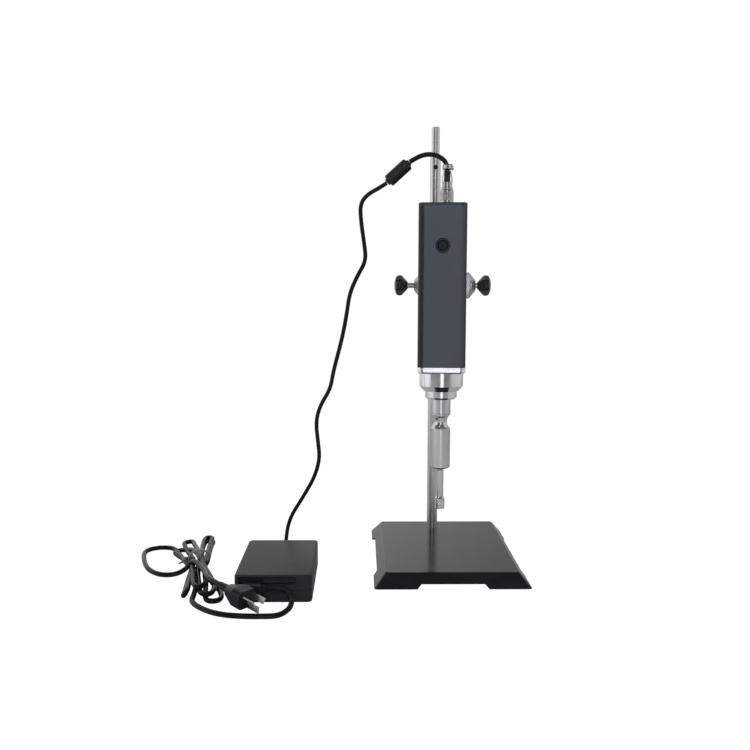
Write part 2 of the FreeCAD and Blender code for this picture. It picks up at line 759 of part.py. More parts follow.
def post():
    """Round post on a plate that is screwed to the housing's back."""
    face = head_y + head_size / 2
    outline = rounded_wire(back_plate_width, back_plate_height, back_plate_corner, 0)
    plate = Part.Face(outline).extrude(Vector(0, 0, back_plate_thick))
    plate.rotate(Vector(0, 0, 0), Vector(1, 0, 0), 90)
    plate.translate(Vector(head_x, face + back_plate_thick, clamp_z))
    boss = cylinder(post_boss_radius, (post_offset, face, clamp_z), (0, 1, 0),
                    back_plate_thick + post_boss_length)
    boss_end = face + back_plate_thick + post_boss_length
    boss = boss.makeChamfer(1.0, [e for e in boss.Edges if abs(e.BoundBox.YMin - boss_end) < 1e-3])
    plate = fused(plate, boss)
    seat = face + 2.0
    plate = plate.cut(cylinder(post_radius + hairline, (post_offset, seat, clamp_z), (0, 1, 0),
                              post_back - seat))
    head_end = face + back_plate_thick
    for x, z in back_screw_spots():
        plate = plate.cut(cylinder(back_screw_radius + 0.2, (x, face - 1, z), (0, 1, 0),
                                   back_plate_thick + 2))
        shank = cylinder(back_screw_radius, (x, face - head_back_wall, z), (0, 1, 0),
                         head_back_wall + back_plate_thick)
        cap = cylinder(back_screw_head, (x, head_end, z), (0, 1, 0), back_screw_head_length)
        drive = hexagon(3.0, (x, head_end + back_screw_head_length, z), (0, -1, 0), 2.2)
        keep_swung("post_plate_screws", fused(shank, cap).cut(drive))
    keep_swung("post_plate", plate)
    rod = cylinder(post_radius, (post_offset, seat, clamp_z), (0, 1, 0), post_back - seat)
    rod = rod.makeChamfer(0.8, [e for e in rod.Edges if abs(e.BoundBox.YMin - post_back) < 1e-3])
    keep_swung("head_post", rod)


def nose():
    """Collar, retaining nut, flange sleeve and the two sealing rings."""
    x, y = head_x, head_y
    plate_bottom = housing_bottom - plate_thick
    floor = collar_bottom + collar_floor
    keep_swung("nose_collar", turned([
        (nut_bore, collar_bottom), (collar_cone_radius, collar_bottom), (collar_radius, collar_cone_top),
        (collar_radius, plate_bottom), (collar_bore, plate_bottom), (collar_bore, floor), (nut_bore,
                                                                                           floor)], x, y))
    spigot_top = floor - 0.4
    keep_swung("retaining_nut", turned([
        (nut_opening, nut_bottom), (nut_radius - nut_cone, nut_bottom), (nut_radius,
                                                                         nut_bottom + nut_cone),
        (nut_radius, collar_bottom), (nut_bore - hairline, collar_bottom),
        (nut_bore - hairline, spigot_top), (nut_opening, spigot_top)], x, y))
    ring_major = collar_bore - seal_section - 0.6
    lower = floor + seal_section
    upper = lower + 2 * seal_section + flange_thick
    for z in (lower, upper):
        seal = Part.makeTorus(ring_major, seal_section, Vector(x, y, z), Vector(0, 0, 1))
        keep_swung("seal_rings", seal)
    sleeve_low = upper + seal_section
    keep_swung("flange_sleeve", ring(collar_bore - hairline, collar_bore - sleeve_wall, (x, y, sleeve_low),
                                     (0, 0, 1), plate_bottom - sleeve_low))


def flange_bottom():
    return collar_bottom + collar_floor + 2 * seal_section


def transducer():
    """Bolted stack: front mass with its flange, ceramic discs between electrodes, rear mass."""
    x, y = head_x, head_y
    low = flange_bottom()
    high = low + flange_thick
    booster = turned([
        (joint_stud_radius, booster_bottom), (booster_radius - 0.6, booster_bottom),
        (booster_radius, booster_bottom + 0.6), (booster_radius, low), (flange_radius, low),
        (flange_radius, high),
        (mass_radius, high), (mass_radius, front_mass_top), (bolt_radius, front_mass_top),
        (bolt_radius, front_mass_top - bolt_depth - 1), (0, front_mass_top - bolt_depth - 1),
        (0, booster_bottom + joint_stud_length / 2 + 0.5), (joint_stud_radius, booster_bottom
                                                            + joint_stud_length / 2 + 0.5)], x, y)
    keep_swung("front_mass", booster)
    z = front_mass_top
    for i in range(disc_count):
        keep_swung("electrode_plates", electrode(z, 90 * i))
        z += electrode_thick
        keep_swung("piezo_discs", ring(mass_radius, disc_bore, (x, y, z), (0, 0, 1), disc_thick))
        z += disc_thick
    rear = turned([(bolt_radius + 0.2, z), (mass_radius, z), (mass_radius, z + rear_mass_length - 1),
                   (mass_radius - 1, z + rear_mass_length), (bolt_radius + 0.2, z + rear_mass_length)],
                   x, y)
    keep_swung("rear_mass", rear)
    top = z + rear_mass_length
    bolt = turned([(0, front_mass_top - bolt_depth), (bolt_radius - hairline, front_mass_top - bolt_depth),
                   (bolt_radius - hairline, top), (bolt_head_radius, top), (bolt_head_radius,
                                                                            top + bolt_head_length),
                   (0, top + bolt_head_length)], x, y)
    keep_swung("preload_bolt", bolt.cut(hexagon(6.0, (x, y, top + bolt_head_length), (0, 0, -1), 5.0)))


def electrode(z, angle):
    x, y = head_x, head_y
    disc = ring(mass_radius, disc_bore, (x, y, z), (0, 0, 1), electrode_thick)
    tab = box(x + mass_radius - 2, x + mass_radius + electrode_tab, y - 2.5, y + 2.5, z,
              z + electrode_thick)
    tab.rotate(Vector(x, y, 0), Vector(0, 0, 1), angle + 45)
    return fused(disc, tab).Solids[0]


def horn():
    """Stepped probe with a waisted neck, the stud that joins it, and its replaceable tip."""
    x, y = head_x, head_y
    r, top = horn_radius, booster_bottom
    stud_low = top - joint_stud_length / 2
    waist = (top + neck_bottom) / 2
    outline = [
        Part.makeLine(Vector(joint_stud_radius, 0, top), Vector(r, 0, top)),
        Part.makeLine(Vector(r, 0, top), Vector(r, 0, top - 1.2)),
        Part.Arc(Vector(r, 0, top - 1.2), Vector(neck_radius, 0, waist), Vector(r, 0,
                                                                                neck_bottom)).toShape(),
        Part.makeLine(Vector(r, 0, neck_bottom), Vector(r, 0, horn_shoulder + 1.0)),
        Part.makeLine(Vector(r, 0, horn_shoulder + 1.0), Vector(r - 1.0, 0, horn_shoulder)),
        Part.makeLine(Vector(r - 1.0, 0, horn_shoulder), Vector(probe_radius + probe_fillet, 0,
                                                                horn_shoulder)),
        Part.Arc(Vector(probe_radius + probe_fillet, 0, horn_shoulder),
                 Vector(probe_radius + probe_fillet * (1 - math.sqrt(0.5)), 0,
                        horn_shoulder - probe_fillet * (1 - math.sqrt(0.5))),
                 Vector(probe_radius, 0, horn_shoulder - probe_fillet)).toShape(),
        Part.makeLine(Vector(probe_radius, 0, horn_shoulder - probe_fillet), Vector(probe_radius, 0,
                                                                                    tip_top)),
        Part.makeLine(Vector(probe_radius, 0, tip_top), Vector(tip_stud_radius, 0, tip_top)),
        Part.makeLine(Vector(tip_stud_radius, 0, tip_top), Vector(tip_stud_radius, 0,
                                                                  tip_top + tip_stud_length)),
        Part.makeLine(Vector(tip_stud_radius, 0, tip_top + tip_stud_length),
                      Vector(0, 0, tip_top + tip_stud_length)),
        Part.makeLine(Vector(0, 0, tip_top + tip_stud_length), Vector(0, 0, stud_low - 0.5)),
        Part.makeLine(Vector(0, 0, stud_low - 0.5), Vector(joint_stud_radius, 0, stud_low - 0.5)),
        Part.makeLine(Vector(joint_stud_radius, 0, stud_low - 0.5), Vector(joint_stud_radius, 0, top)),
    ]
    probe = Part.Face(Part.Wire(outline)).revolve(Vector(0, 0, 0), Vector(0, 0, 1), 360)
    probe.translate(Vector(x, y, 0))
    keep_swung("horn", probe)
    keep_swung("horn_stud", cylinder(joint_stud_radius - hairline, (x, y, stud_low), (0, 0, 1),
                                     joint_stud_length))
    tip = turned([(0, tip_bottom), (tip_radius - 0.4, tip_bottom), (tip_radius, tip_bottom + 0.4),
                  (tip_radius, tip_top - 2.2), (probe_radius, tip_top),
                  (tip_stud_radius - hairline, tip_top),
                  (tip_stud_radius - hairline, tip_top + tip_stud_length - 0.5),
                  (0, tip_top + tip_stud_length - 0.5)], x, y)
    for way in (-1, 1):
        flat = box(x - 6, x + 6, y + way * 4.3, y + way * 6, tip_top - 7, tip_top - 2.8) if way > 0 else \
            box(x - 6, x + 6, y - 6, y - 4.3, tip_top - 7, tip_top - 2.8)
        tip = tip.cut(flat)
    keep_swung("horn_tip", tip)


def button():
    """Push button: bezel, cap, return spring, switch block and the nut behind the wall."""
    x, z = head_x, button_z
    face = head_y - head_size / 2
    inner = face + head_wall
    bore = button_radius + running
    barrel_end = inner + button_nut_height + 1.5
    bezel = cylinder(bezel_radius, (x, face, z), (0, -1, 0), bezel_thick)
    bezel = bezel.makeChamfer(0.35,
                              [e for e in bezel.Edges if abs(e.BoundBox.YMax - face + bezel_thick) < 1e-3])
    bezel = fused(bezel, cylinder(bezel_barrel, (x, face, z), (0, 1, 0), barrel_end - face))
    bezel = bezel.cut(cylinder(bore, (x, face - 5, z), (0, 1, 0), barrel_end - face + 6))
    keep_swung("button_bezel", bezel)
    nut = hexagon(button_nut_flats, (x, inner, z), (0, 1, 0), button_nut_height)
    keep_swung("panel_nuts", nut.cut(cylinder(bezel_barrel + hairline, (x, inner - 1, z), (0, 1, 0), 6)))
    front = face - button_proud
    cap = cylinder(button_radius, (x, front, z), (0, 1, 0), button_length)
    cap = cap.makeFillet(0.7, [e for e in cap.Edges if abs(e.BoundBox.YMax - front) < 1e-3])
    keep_swung("button_cap", cap)
    spring_start = front + button_length
    seat = barrel_end + 0.6
    switch = box(x - switch_size / 2, x + switch_size / 2, seat, seat + switch_depth,
                 z - switch_size / 2, z + switch_size / 2)
    collar = ring(bezel_barrel, bore, (x, barrel_end, z), (0, 1, 0), seat - barrel_end)
    keep_swung("button_switch", fused(switch, collar))
    first = spring_start + spring_wire + spring_slack
    pitch = (seat - spring_wire - spring_slack - first) / (spring_turns - 1)
    coils = [Part.makeTorus(spring_radius, spring_wire, Vector(x, first + i * pitch, z), Vector(0, 1, 0))
             for i in range(spring_turns)]
    keep_swung("button_spring", *coils)


def electronics():
    """Driver board on four standoffs from the back wall, with its coil, capacitors and drivers."""
    front = head_y + board_y
    back = front + board_thick
    wall = head_y + head_size / 2 - head_back_wall
    board = box(head_x - board_width / 2, head_x + board_width / 2, front, back, board_bottom, board_top)
    spots = [(head_x + i * (board_width / 2 - standoff_inset), z)
             for i in (-1, 1) for z in (board_bottom + standoff_inset, board_top - standoff_inset)]
    keep_swung("driver_board", board)
    for x, z in spots:
        keep_swung("driver_board", cylinder(standoff_radius, (x, back, z), (0, 1, 0), wall - back))
    coil = Part.makeTorus(coil_major, coil_minor, Vector(head_x, front - coil_minor, coil_z), Vector(0,
                                                                                                     1, 0))
    keep_swung("driver_components", coil)
    for i in (-1, 1):
        keep_swung("driver_components", cylinder(capacitor_radius, (head_x + i * capacitor_pitch / 2,
                                                                    front - capacitor_radius, capacitor_z),
                                                 (0, 0, 1), capacitor_length))
        keep_swung("driver_components", box(head_x + i * driver_pitch / 2 - driver_width / 2,
                                            head_x + i * driver_pitch / 2 + driver_width / 2,
                                            back, back + driver_thick,
                                            driver_z - driver_height / 2, driver_z + driver_height / 2))


def connector():
    """Panel socket with its pins and nut, the coupling ring, and the plug with its cord clamp."""
    x, y = head_x + connector_offset, head_y
    under = cover_top - cover_thick
    flange_top = cover_top + socket_flange_thick
    shell_low = cover_top - socket_depth
    shell_top = cover_top + socket_reach
    keep_swung("socket_shell",
               turned([(socket_bore, shell_low), (socket_radius - running, shell_low),
                       (socket_radius - running, cover_top), (socket_flange, cover_top),
                       (socket_flange, flange_top), (socket_neck, flange_top), (socket_neck, shell_top),
                       (socket_bore, shell_top)], x, y))
    nut = hexagon(socket_nut_flats, (x, y, under - socket_nut_height), (0, 0, 1), socket_nut_height)
    keep_swung("panel_nuts", nut.cut(cylinder(socket_radius, (x, y, under - 5), (0, 0, 1), 8)))
    insert = cylinder(socket_bore - hairline, (x, y, shell_low), (0, 0, 1), insert_length)
    pins = []
    for i in range(pin_count):
        angle = math.radians(360 / pin_count * i + 45)
        pins.append(cylinder(pin_radius, (x + pin_circle * math.cos(angle),
                                          y + pin_circle * math.sin(angle),
                                          shell_low - 2.5), (0, 0, 1), insert_length + pin_length + 2.5))
    keep_swung("socket_insert", insert.cut(pins[0].multiFuse(pins[1:])), *pins)

    sleeve = turned([
        (socket_neck + running, ring_bottom), (ring_radius - 0.4, ring_bottom), (ring_radius,
                                                                                 ring_bottom + 0.4),
        (ring_radius, ring_top - 0.5), (ring_radius - 0.5, ring_top), (plug_neck + 0.2, ring_top),
        (plug_neck + 0.2, ring_top - ring_lip), (socket_neck + running, ring_top - ring_lip)], x, y)
    flutes = []
    for i in range(ring_flutes):
        angle = 2 * math.pi * i / ring_flutes
        flutes.append(cylinder(ring_flute_radius, (x + (ring_radius + 0.3) * math.cos(angle),
                                                   y + (ring_radius + 0.3) * math.sin(angle),
                                                   ring_bottom + 2),
                               (0, 0, 1), ring_top - ring_bottom - 4))
    keep_swung("plug_coupling_ring", sleeve.cut(flutes[0].multiFuse(flutes[1:])))

    insert_low = shell_low + insert_length + 0.4
    shoulder_low = shell_top + 0.4
    body = turned([(plug_neck - 1.2, insert_low + 3), (socket_bore - 0.1, insert_low + 3),
                   (socket_bore - 0.1, shoulder_low), (shoulder_radius, shoulder_low),
                   (shoulder_radius, ring_top - ring_lip - 0.2), (plug_neck, ring_top - ring_lip - 0.2),
                   (plug_neck, ring_top + 0.2), (plug_band_radius, ring_top + 0.2),
                   (plug_band_radius, ring_top + plug_band_length),
                   (plug_radius, ring_top + plug_band_length), (plug_radius, plug_top),
                   (plug_radius - 1.1, plug_top), (plug_radius - 1.1, ring_top + 3),
                   (plug_neck - 1.2, ring_top + 3)], x, y)
    fixed_arm = plug_arm(-1)
    fixed_arm.translate(Vector(x, y, 0))
    body = fused(body, fixed_arm)
    moving_arm = plug_arm(1)
    moving_arm.translate(Vector(x, y, 0))
    screws = []
    for i in (-1, 1):
        at_y = y + i * saddle_screw_pitch / 2
        z = (arm_pinch_z + arm_top) / 2
        start = x + saddle_half()
        shank = cylinder(saddle_screw_radius, (start, at_y, z), (-1, 0, 0), 2 * saddle_half() - 0.4)
        cap = cylinder(saddle_screw_head, (start, at_y, z), (1, 0, 0), 1.3)
        hole = cylinder(saddle_screw_radius + hairline, (x + 8, at_y, z), (-1, 0, 0), 16)
        body, moving_arm = body.cut(hole), moving_arm.cut(hole)
        screws.append(fused(shank, cap).cut(hexagon(1.2, (start + 1.3, at_y, z), (-1, 0, 0), 0.8)))
    keep_swung("plug_body", *body.Solids, *moving_arm.Solids)
    keep_swung("plug_clamp_screws", *screws)
    contact = cylinder(plug_neck - 1.2 - hairline, (x, y, insert_low + 5.2), (0, 0, 1),
                       ring_top + 2 - insert_low - 5.2)
    keep_swung("plug_insert", contact)
    inner = upper_cord_radius
    sleeve = turned([(inner, sleeve_bottom), (sleeve_bottom_radius, sleeve_bottom),
                     (sleeve_top_radius, sleeve_top), (inner, sleeve_top)], x, y)
    core = cylinder(inner, (x, y, ring_top + 2), (0, 0, 1), sleeve_top - ring_top - 2)
    keep_swung("cord_sleeve", fused(sleeve, core).Solids[0])


def saddle_half():
    """From the cord's axis to the outer face of either arm's saddle."""
    return upper_cord_radius + arm_clearance + arm_thick + 0.6


def plug_arm(way):
    """Strip that rises from the plug's rim and closes in on the cord, with a saddle at its top."""
    outer, inner = plug_radius, upper_cord_radius + arm_clearance
    thick = arm_thick
    outline = [Vector(outer - thick, 0, plug_top), Vector(outer, 0, plug_top),
               Vector(outer, 0, plug_top + 1.6), Vector(saddle_half(), 0, arm_pinch_z),
               Vector(saddle_half(), 0, arm_top), Vector(inner, 0, arm_top),
               Vector(inner, 0, arm_pinch_z + 0.2), Vector(outer - thick, 0, plug_top + 1.2)]
    strip = Part.Face(Part.makePolygon(outline + outline[:1])).extrude(Vector(0, arm_width, 0))
    strip.translate(Vector(0, -arm_width / 2, 0))
    wing = box(saddle_gap, saddle_half(), -saddle_wing / 2, saddle_wing / 2, arm_pinch_z + 0.4, arm_top)
    upright = [e for e in wing.Edges if e.BoundBox.XLength > inner]
    wing = wing.makeFillet(1.6, upright)
    wing = wing.cut(cylinder(inner, (0, 0, ring_bottom), (0, 0, 1), arm_top))
    whole = fused(strip, wing)
    whole = whole.cut(cylinder(inner, (0, 0, ring_bottom), (0, 0, 1), arm_top))
    if way < 0:
        whole = whole.mirror(Vector(0, 0, 0), Vector(1, 0, 0))
    return whole


def ferrite():
    """Moulded bead along the line between the two cord routes' ends."""
    start, end = Vector(*upper_route[-1]), Vector(*lower_route[0])
    along = (end - start).normalize()
    start = start + along * bead_start_gap
    length = (end - start).Length - bead_end_gap
    r, n = bead_radius, bead_nose
    half = [(0, 0), (bead_nose_radius - 0.4, 0), (bead_nose_radius, 0.4), (bead_nose_radius, n),
            (r - bead_edge, n), (r, n + bead_edge)]
    profile = [Vector(a, 0, b) for a, b in half] + [Vector(a, 0, length - b) for a, b in reversed(half)]
    bead = Part.Face(Part.makePolygon(profile + profile[:1])).revolve(Vector(0, 0, 0), Vector(0, 0, 1),
                                                                      360)
    bead.Placement = FreeCAD.Placement(start, FreeCAD.Rotation(Vector(0, 0, 1), along))
    keep("ferrite_bead", bead)


def adapter():
    """Two moulded shells with feet, mains inlet, cord relief and the converter inside."""
    width, depth = adapter_right - adapter_left, adapter_back - adapter_front
    cx, cy = (adapter_left + adapter_right) / 2, (adapter_front + adapter_back) / 2
    low = adapter_foot
    whole = rounded_block(width, depth, adapter_corner, low, adapter_height, cx, cy)
    whole = whole.makeFillet(adapter_edge, edges_at(whole, adapter_height))
    whole = whole.makeFillet(1.5, edges_at(whole, low))
    w = adapter_wall
    hollow = rounded_block(width - 2 * w, depth - 2 * w, adapter_corner - w, low + w,
                           adapter_height - w, cx, cy)
    shell = whole.cut(hollow)
    inlet = box(inlet_x - inlet_width / 2, inlet_x + inlet_width / 2, adapter_front - 1,
                adapter_front + inlet_depth, inlet_z - inlet_height / 2, inlet_z + inlet_height / 2)
    shell = shell.cut(inlet)
    shell = shell.cut(cylinder(relief_root - 0.6 + hairline, (relief_x, adapter_back + 1, relief_z),
                               (0, -1, 0), 8))
    recess = box(adapter_left + recess_left, adapter_right - recess_right, adapter_front - 1,
                 adapter_front + recess_depth, recess_low, recess_high)
    backing = box(adapter_left + recess_left - 2, adapter_right - recess_right + 2, adapter_front + w,
                  adapter_front + recess_depth + w, recess_low - 2, recess_high + 0.8)
    shell = fused(shell, backing.common(hollow)).cut(recess)
    split = box(adapter_left - 5, adapter_right + 5, adapter_front - 5, adapter_back + 5, -5,
                adapter_split)
    lower = shell.common(split)
    for i in (-1, 1):
        for j in (-1, 1):
            x = cx + i * (width / 2 - adapter_foot_inset)
            y = cy + j * (depth / 2 - adapter_foot_inset)
            lower = lower.fuse(cylinder(adapter_foot_radius, (x, y, 0), (0, 0, 1), adapter_foot + w / 2))
    keep("adapter_lower_shell", *lower.Solids)
    upper = shell.cut(split)
    lip = rounded_block(width - 2 * w - 2 * hairline, depth - 2 * w - 2 * hairline, adapter_corner - w,
                        adapter_split - 1.6, adapter_split + 1.6, cx, cy)
    lip = lip.cut(rounded_block(width - 2 * w - 2.4, depth - 2 * w - 2.4, adapter_corner - w - 1.2,
                                adapter_split - 1.6, adapter_split + 1.6, cx, cy))
    clear = box(inlet_x - inlet_width / 2 - 2, inlet_x + inlet_width / 2 + 2, adapter_front,
                adapter_front + 10, 0, adapter_height)
    clear = clear.fuse(box(relief_x - relief_root - 1, relief_x + relief_root + 1, adapter_back - 8,
                           adapter_back, 0, adapter_height))
    keep("adapter_upper_shell", *fused(upper, lip.cut(clear)).Solids)

    adapter_inlet()
    relief = Part.makeCone(relief_root, cord_radius + 0.6, relief_length,
                           Vector(relief_x, adapter_back, relief_z), Vector(0, 1, 0))
    for i in range(3):
        y = adapter_back + 3.4 + i * 3.0
        relief = relief.cut(ring(8, cord_radius + 0.9, (relief_x, y, relief_z), (0, 1, 0), 1.0))
    root = cylinder(relief_root - 0.6, (relief_x, adapter_back, relief_z), (0, -1, 0), w + 1.5)
    stop = cylinder(relief_root + 0.6, (relief_x, adapter_back - w - 0.1, relief_z), (0, -1, 0), 1.6)
    relief = fused(relief, root, stop)
    keep("adapter_relief", relief)
    converter(cx, cy)


def adapter_inlet():
    """Two-pin inlet, open to the adapter's front."""
    a, b = inlet_width / 2 - hairline, inlet_height / 2 - hairline
    back = adapter_front + inlet_depth - 0.5
    body = box(inlet_x - a, inlet_x + a, adapter_front + 0.4, back, inlet_z - b, inlet_z + b)
    room = box(inlet_x - a + inlet_wall, inlet_x + a - inlet_wall, adapter_front, back - 3.0,
               inlet_z - b + inlet_wall, inlet_z + b - inlet_wall)
    body = body.cut(room)
    for i in (-1, 1):
        start = (inlet_x + i * inlet_pin_pitch / 2, back + 1.5, inlet_z)
        pin = cylinder(inlet_pin_radius, start, (0, -1, 0), inlet_pin_length + 4.5)
        body = body.cut(pin)
        keep("adapter_inlet", pin)
    keep("adapter_inlet", body)


def converter(cx, cy):
    """Board with transformer, storage capacitor and heat spreaders, inside the adapter."""
    low, thick = adapter_board_z, adapter_board_thick
    w = adapter_wall
    half_x = (adapter_right - adapter_left) / 2 - w - 3
    front = adapter_front + inlet_depth + 4
    back = adapter_back - w - 6
    keep("adapter_converter", box(cx - half_x, cx + half_x, front, back, low, low + thick))
    for i in (-1, 1):
        for y in (front + 5, back - 5):
            keep("adapter_converter", cylinder(3.0, (cx + i * (half_x - 5), y, adapter_foot + w),
                                               (0, 0, 1), low - adapter_foot - w))
    top = low + thick
    width, depth, height = core_size
    x0, y0 = cx - 12, (front + back) / 2 - 4
    core = box(x0 - width / 2, x0 + width / 2, y0 - depth / 2, y0 + depth / 2, top, top + height)
    window = box(x0 - width / 2 + core_leg, x0 + width / 2 - core_leg, y0 - depth, y0 + depth,
                 top + core_leg * 0.7, top + height - core_leg * 0.7)
    core = core.cut(window)
    winding = box(x0 - winding_radius, x0 + winding_radius, y0 - depth / 2 - 3, y0 + depth / 2 + 3,
                  top + core_leg * 0.7 + 0.1, top + height - core_leg * 0.7 - 0.1)
    winding = winding.makeFillet(2.0, [e for e in winding.Edges if e.BoundBox.YLength > depth])
    keep("adapter_converter", core, winding)
    keep("adapter_converter", cylinder(adapter_cap_radius, (cx + 16, front + 4,
                                                            top + adapter_cap_radius), (0, 1, 0),
                                       adapter_cap_length))
    for i in (-1, 1):
        x = cx + i * (half_x - 4)
        keep("adapter_converter", box(x - sink_thick / 2, x + sink_thick / 2, back - 12 - sink_length,
                                      back - 12,
                                           top, top + sink_height))


def mains_connector():
    """Moulded appliance connector with its cord relief at one side."""
    z = inlet_z + connector_rise
    face = adapter_front - seam
    body = box(inlet_x - connector_width / 2, inlet_x + connector_width / 2, face - connector_length, face,
               z - connector_height / 2, z + connector_height / 2)
    body = body.makeFillet(2.2,
                           [e for e in body.Edges if e.BoundBox.YMax < face - 0.5 or e.BoundBox.YLength > 5])
    reach = adapter_front + inlet_depth - 0.5 - 3.0 - 0.6
    nose_block = box(inlet_x - nose_width / 2, inlet_x + nose_width / 2, face - 2, reach,
                     inlet_z - nose_height / 2, inlet_z + nose_height / 2)
    nose_block = nose_block.makeFillet(2.4, [e for e in nose_block.Edges if e.BoundBox.YLength > 5])
    for i in (-1, 1):
        nose_block = nose_block.cut(cylinder(inlet_pin_radius + 0.15,
                                             (inlet_x + i * inlet_pin_pitch / 2, reach + 1, inlet_z),
                                             (0, -1, 0), inlet_pin_length + 2))
    side = inlet_x + connector_width / 2
    relief = Part.makeCone(side_relief_root, side_relief_tip, side_relief_length + 1,
                           Vector(side - 1, connector_axis_y(), inlet_z + side_relief_rise), Vector(1,
                                                                                                    0, 0))
    keep("mains_connector", *fused(body, nose_block, relief).Solids)


def tapered_capsule(first, r1, second, r2, z0, z1):
    """Two upright discs and the wedge between their common tangents."""
    a, b = Vector(first[0], first[1], z0), Vector(second[0], second[1], z0)
    span = (b - a).Length
    base_angle = math.atan2(b.y - a.y, b.x - a.x)
    lean = math.acos((r1 - r2) / span)
    height = z1 - z0
    corners = []
    for centre, radius, sign in ((a, r1, 1), (b, r2, 1), (b, r2, -1), (a, r1, -1)):
        angle = base_angle + sign * lean
        corners.append(centre + Vector(radius * math.cos(angle), radius * math.sin(angle), 0))
    wedge = Part.Face(Part.makePolygon(corners + corners[:1])).extrude(Vector(0, 0, height))
    return wedge.multiFuse([cylinder(r1, (a.x, a.y, z0), (0, 0, 1), height),
                            cylinder(r2, (b.x, b.y, z0), (0, 0, 1), height)])


def hank():
    """Outer shape of the tied hank: four lobes from the tie, in two layers, with its band."""
    layers = []
    for z0, z1, shrink in ((0.0, hank_low, 0.0), (hank_low, hank_high, hank_step)):
        for end, radius in hank_lobes:
            layers.append(tapered_capsule(hank_tie, hank_tie_radius - shrink, end, radius - shrink, z0,
                                          z1))
    whole = layers[0].multiFuse(layers[1:]).removeSplitter()
    waist = band(hank_tie_radius - 1.0, tie_thick, hank_high - 1.0, tie_width + 0.2, 0.0)
    around = box(-40, 40, -tie_width / 2 - 0.1, tie_width / 2 + 0.1, -1, hank_high + 5)
    keep("mains_hank", *whole.cut(lay_at_tie(around).cut(lay_at_tie(waist))).Solids)
    loop = band(hank_tie_radius - 1.0 + tie_thick, 0.0, hank_high - 1.0 + tie_thick, tie_width, 2.0)
    loop = loop.cut(band(hank_tie_radius - 1.0 + hairline, tie_thick - hairline,
                         hank_high - 1.0 + hairline, tie_width + 2, 0.0))
    tail = cylinder(tie_tail_radius, (-hank_tie_radius + 1.2 - tie_thick, 0, hank_high * 0.7), (-0.95,
                                                                                                -0.2, 0.2),
                    tie_tail_length)
    keep("mains_tie", lay_at_tie(fused(loop, tail)))


def band(half_width, low, high, length, extra):
    """Bar with a rounded section, along Y over the tie's place."""
    radius = 4.0 + extra / 4
    outline = rounded_wire(2 * half_width, high - low, radius, 0)
    bar = Part.Face(outline).extrude(Vector(0, 0, length))
    bar.rotate(Vector(0, 0, 0), Vector(1, 0, 0), 90)
    bar.translate(Vector(0, length / 2, (low + high) / 2))
    return bar


def lay_at_tie(shape):
    laid = shape.copy()
    laid.rotate(Vector(0, 0, 0), Vector(0, 0, 1), tie_turn_deg)
    laid.translate(Vector(hank_tie[0], hank_tie[1], 0))
    return laid


def mains_plug():
    """Moulded three-pin plug, narrowing to its relief."""
    place = FreeCAD.Placement(Vector(*mains_plug_face), level_rotation(Vector(*mains_plug_axis)))
    sections = []
    for x, width, height, radius in (
            (0.0, mains_plug_width, mains_plug_height, mains_plug_corner),
            (-mains_plug_length * 0.45, mains_plug_width, mains_plug_height, mains_plug_corner),
            (-mains_plug_length, mains_plug_neck_width, mains_plug_neck_height, mains_plug_corner)):
        wire = rounded_wire(width, height, radius, 0)
        wire.rotate(Vector(0, 0, 0), Vector(1, 0, 0), 90)
        wire.rotate(Vector(0, 0, 0), Vector(0, 0, 1), 90)
        wire.translate(Vector(x, 0, 0))
        sections.append(wire)
    body = Part.makeLoft(sections, True, True)
    relief = Part.makeCone(mains_relief_root, mains_relief_tip, mains_relief_length + 1,
                           Vector(-mains_plug_length + 1, 0, 0), Vector(-1, 0, 0))
    whole = fused(body, relief)
    whole.Placement = place
    keep("mains_plug", *whole.Solids)
    for spread, lift, lean in ((-mains_pin_spread, mains_pin_lift, mains_pin_lean),
                               (mains_pin_spread, mains_pin_lift, -mains_pin_lean),
                               (0.0, -mains_pin_drop, 0.0)):
        pin = box(0, mains_pin_length, -mains_pin_thick / 2, mains_pin_thick / 2,
                  -mains_pin_width / 2, mains_pin_width / 2)
        pin = pin.makeChamfer(0.5, [e for e in pin.Edges if e.BoundBox.XMin > mains_pin_length - 0.01])
        pin.rotate(Vector(0, 0, 0), Vector(1, 0, 0), lean)
        pin.translate(Vector(0, spread, lift))
        pin.Placement = place.multiply(pin.Placement)
        keep("mains_plug_pins", pin)


def level_rotation(axis):
    """Turns +X onto the axis and keeps the width level."""
    ahead = axis.normalize()
    side = Vector(0, 0, 1).cross(ahead).normalize()
    return FreeCAD.Rotation(ahead, side, ahead.cross(side), "XYZ")


def main():
    os.makedirs("parts", exist_ok=True)
    base()
    feet()
    column()
    clamp()
    housing()
    post()
    nose()
    transducer()
    horn()
    button()
    electronics()
    connector()
    ferrite()
    adapter()
    mains_connector()
    hank()
    mains_plug()
    cord_tube("dc_cord_upper", [cord_exit()] + upper_route, upper_cord_radius)
    cord_tube("dc_cord_lower", lower_route + [relief_tip()], cord_radius)
    cord_tube("mains_lead_ends", [connector_exit()] + start_route, lead_radius)
    cord_tube("mains_lead_loop", loop_route, lead_radius)
    cord_tube("mains_lead_ends", [plug_exit()] + end_route, lead_radius)
    for name, solids in nodes.items():
        shape = solids[0] if len(solids) == 1 else Part.makeCompound(solids)
        if not shape.isValid():
            print("invalid:", name)
        shape.exportStep(f"parts/{name}.step")
    print(len(nodes), "nodes,", sum(len(s) for s in nodes.values()), "solids")


main()
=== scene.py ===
import bpy
import bmesh
import math
from mathutils import Matrix, Vector


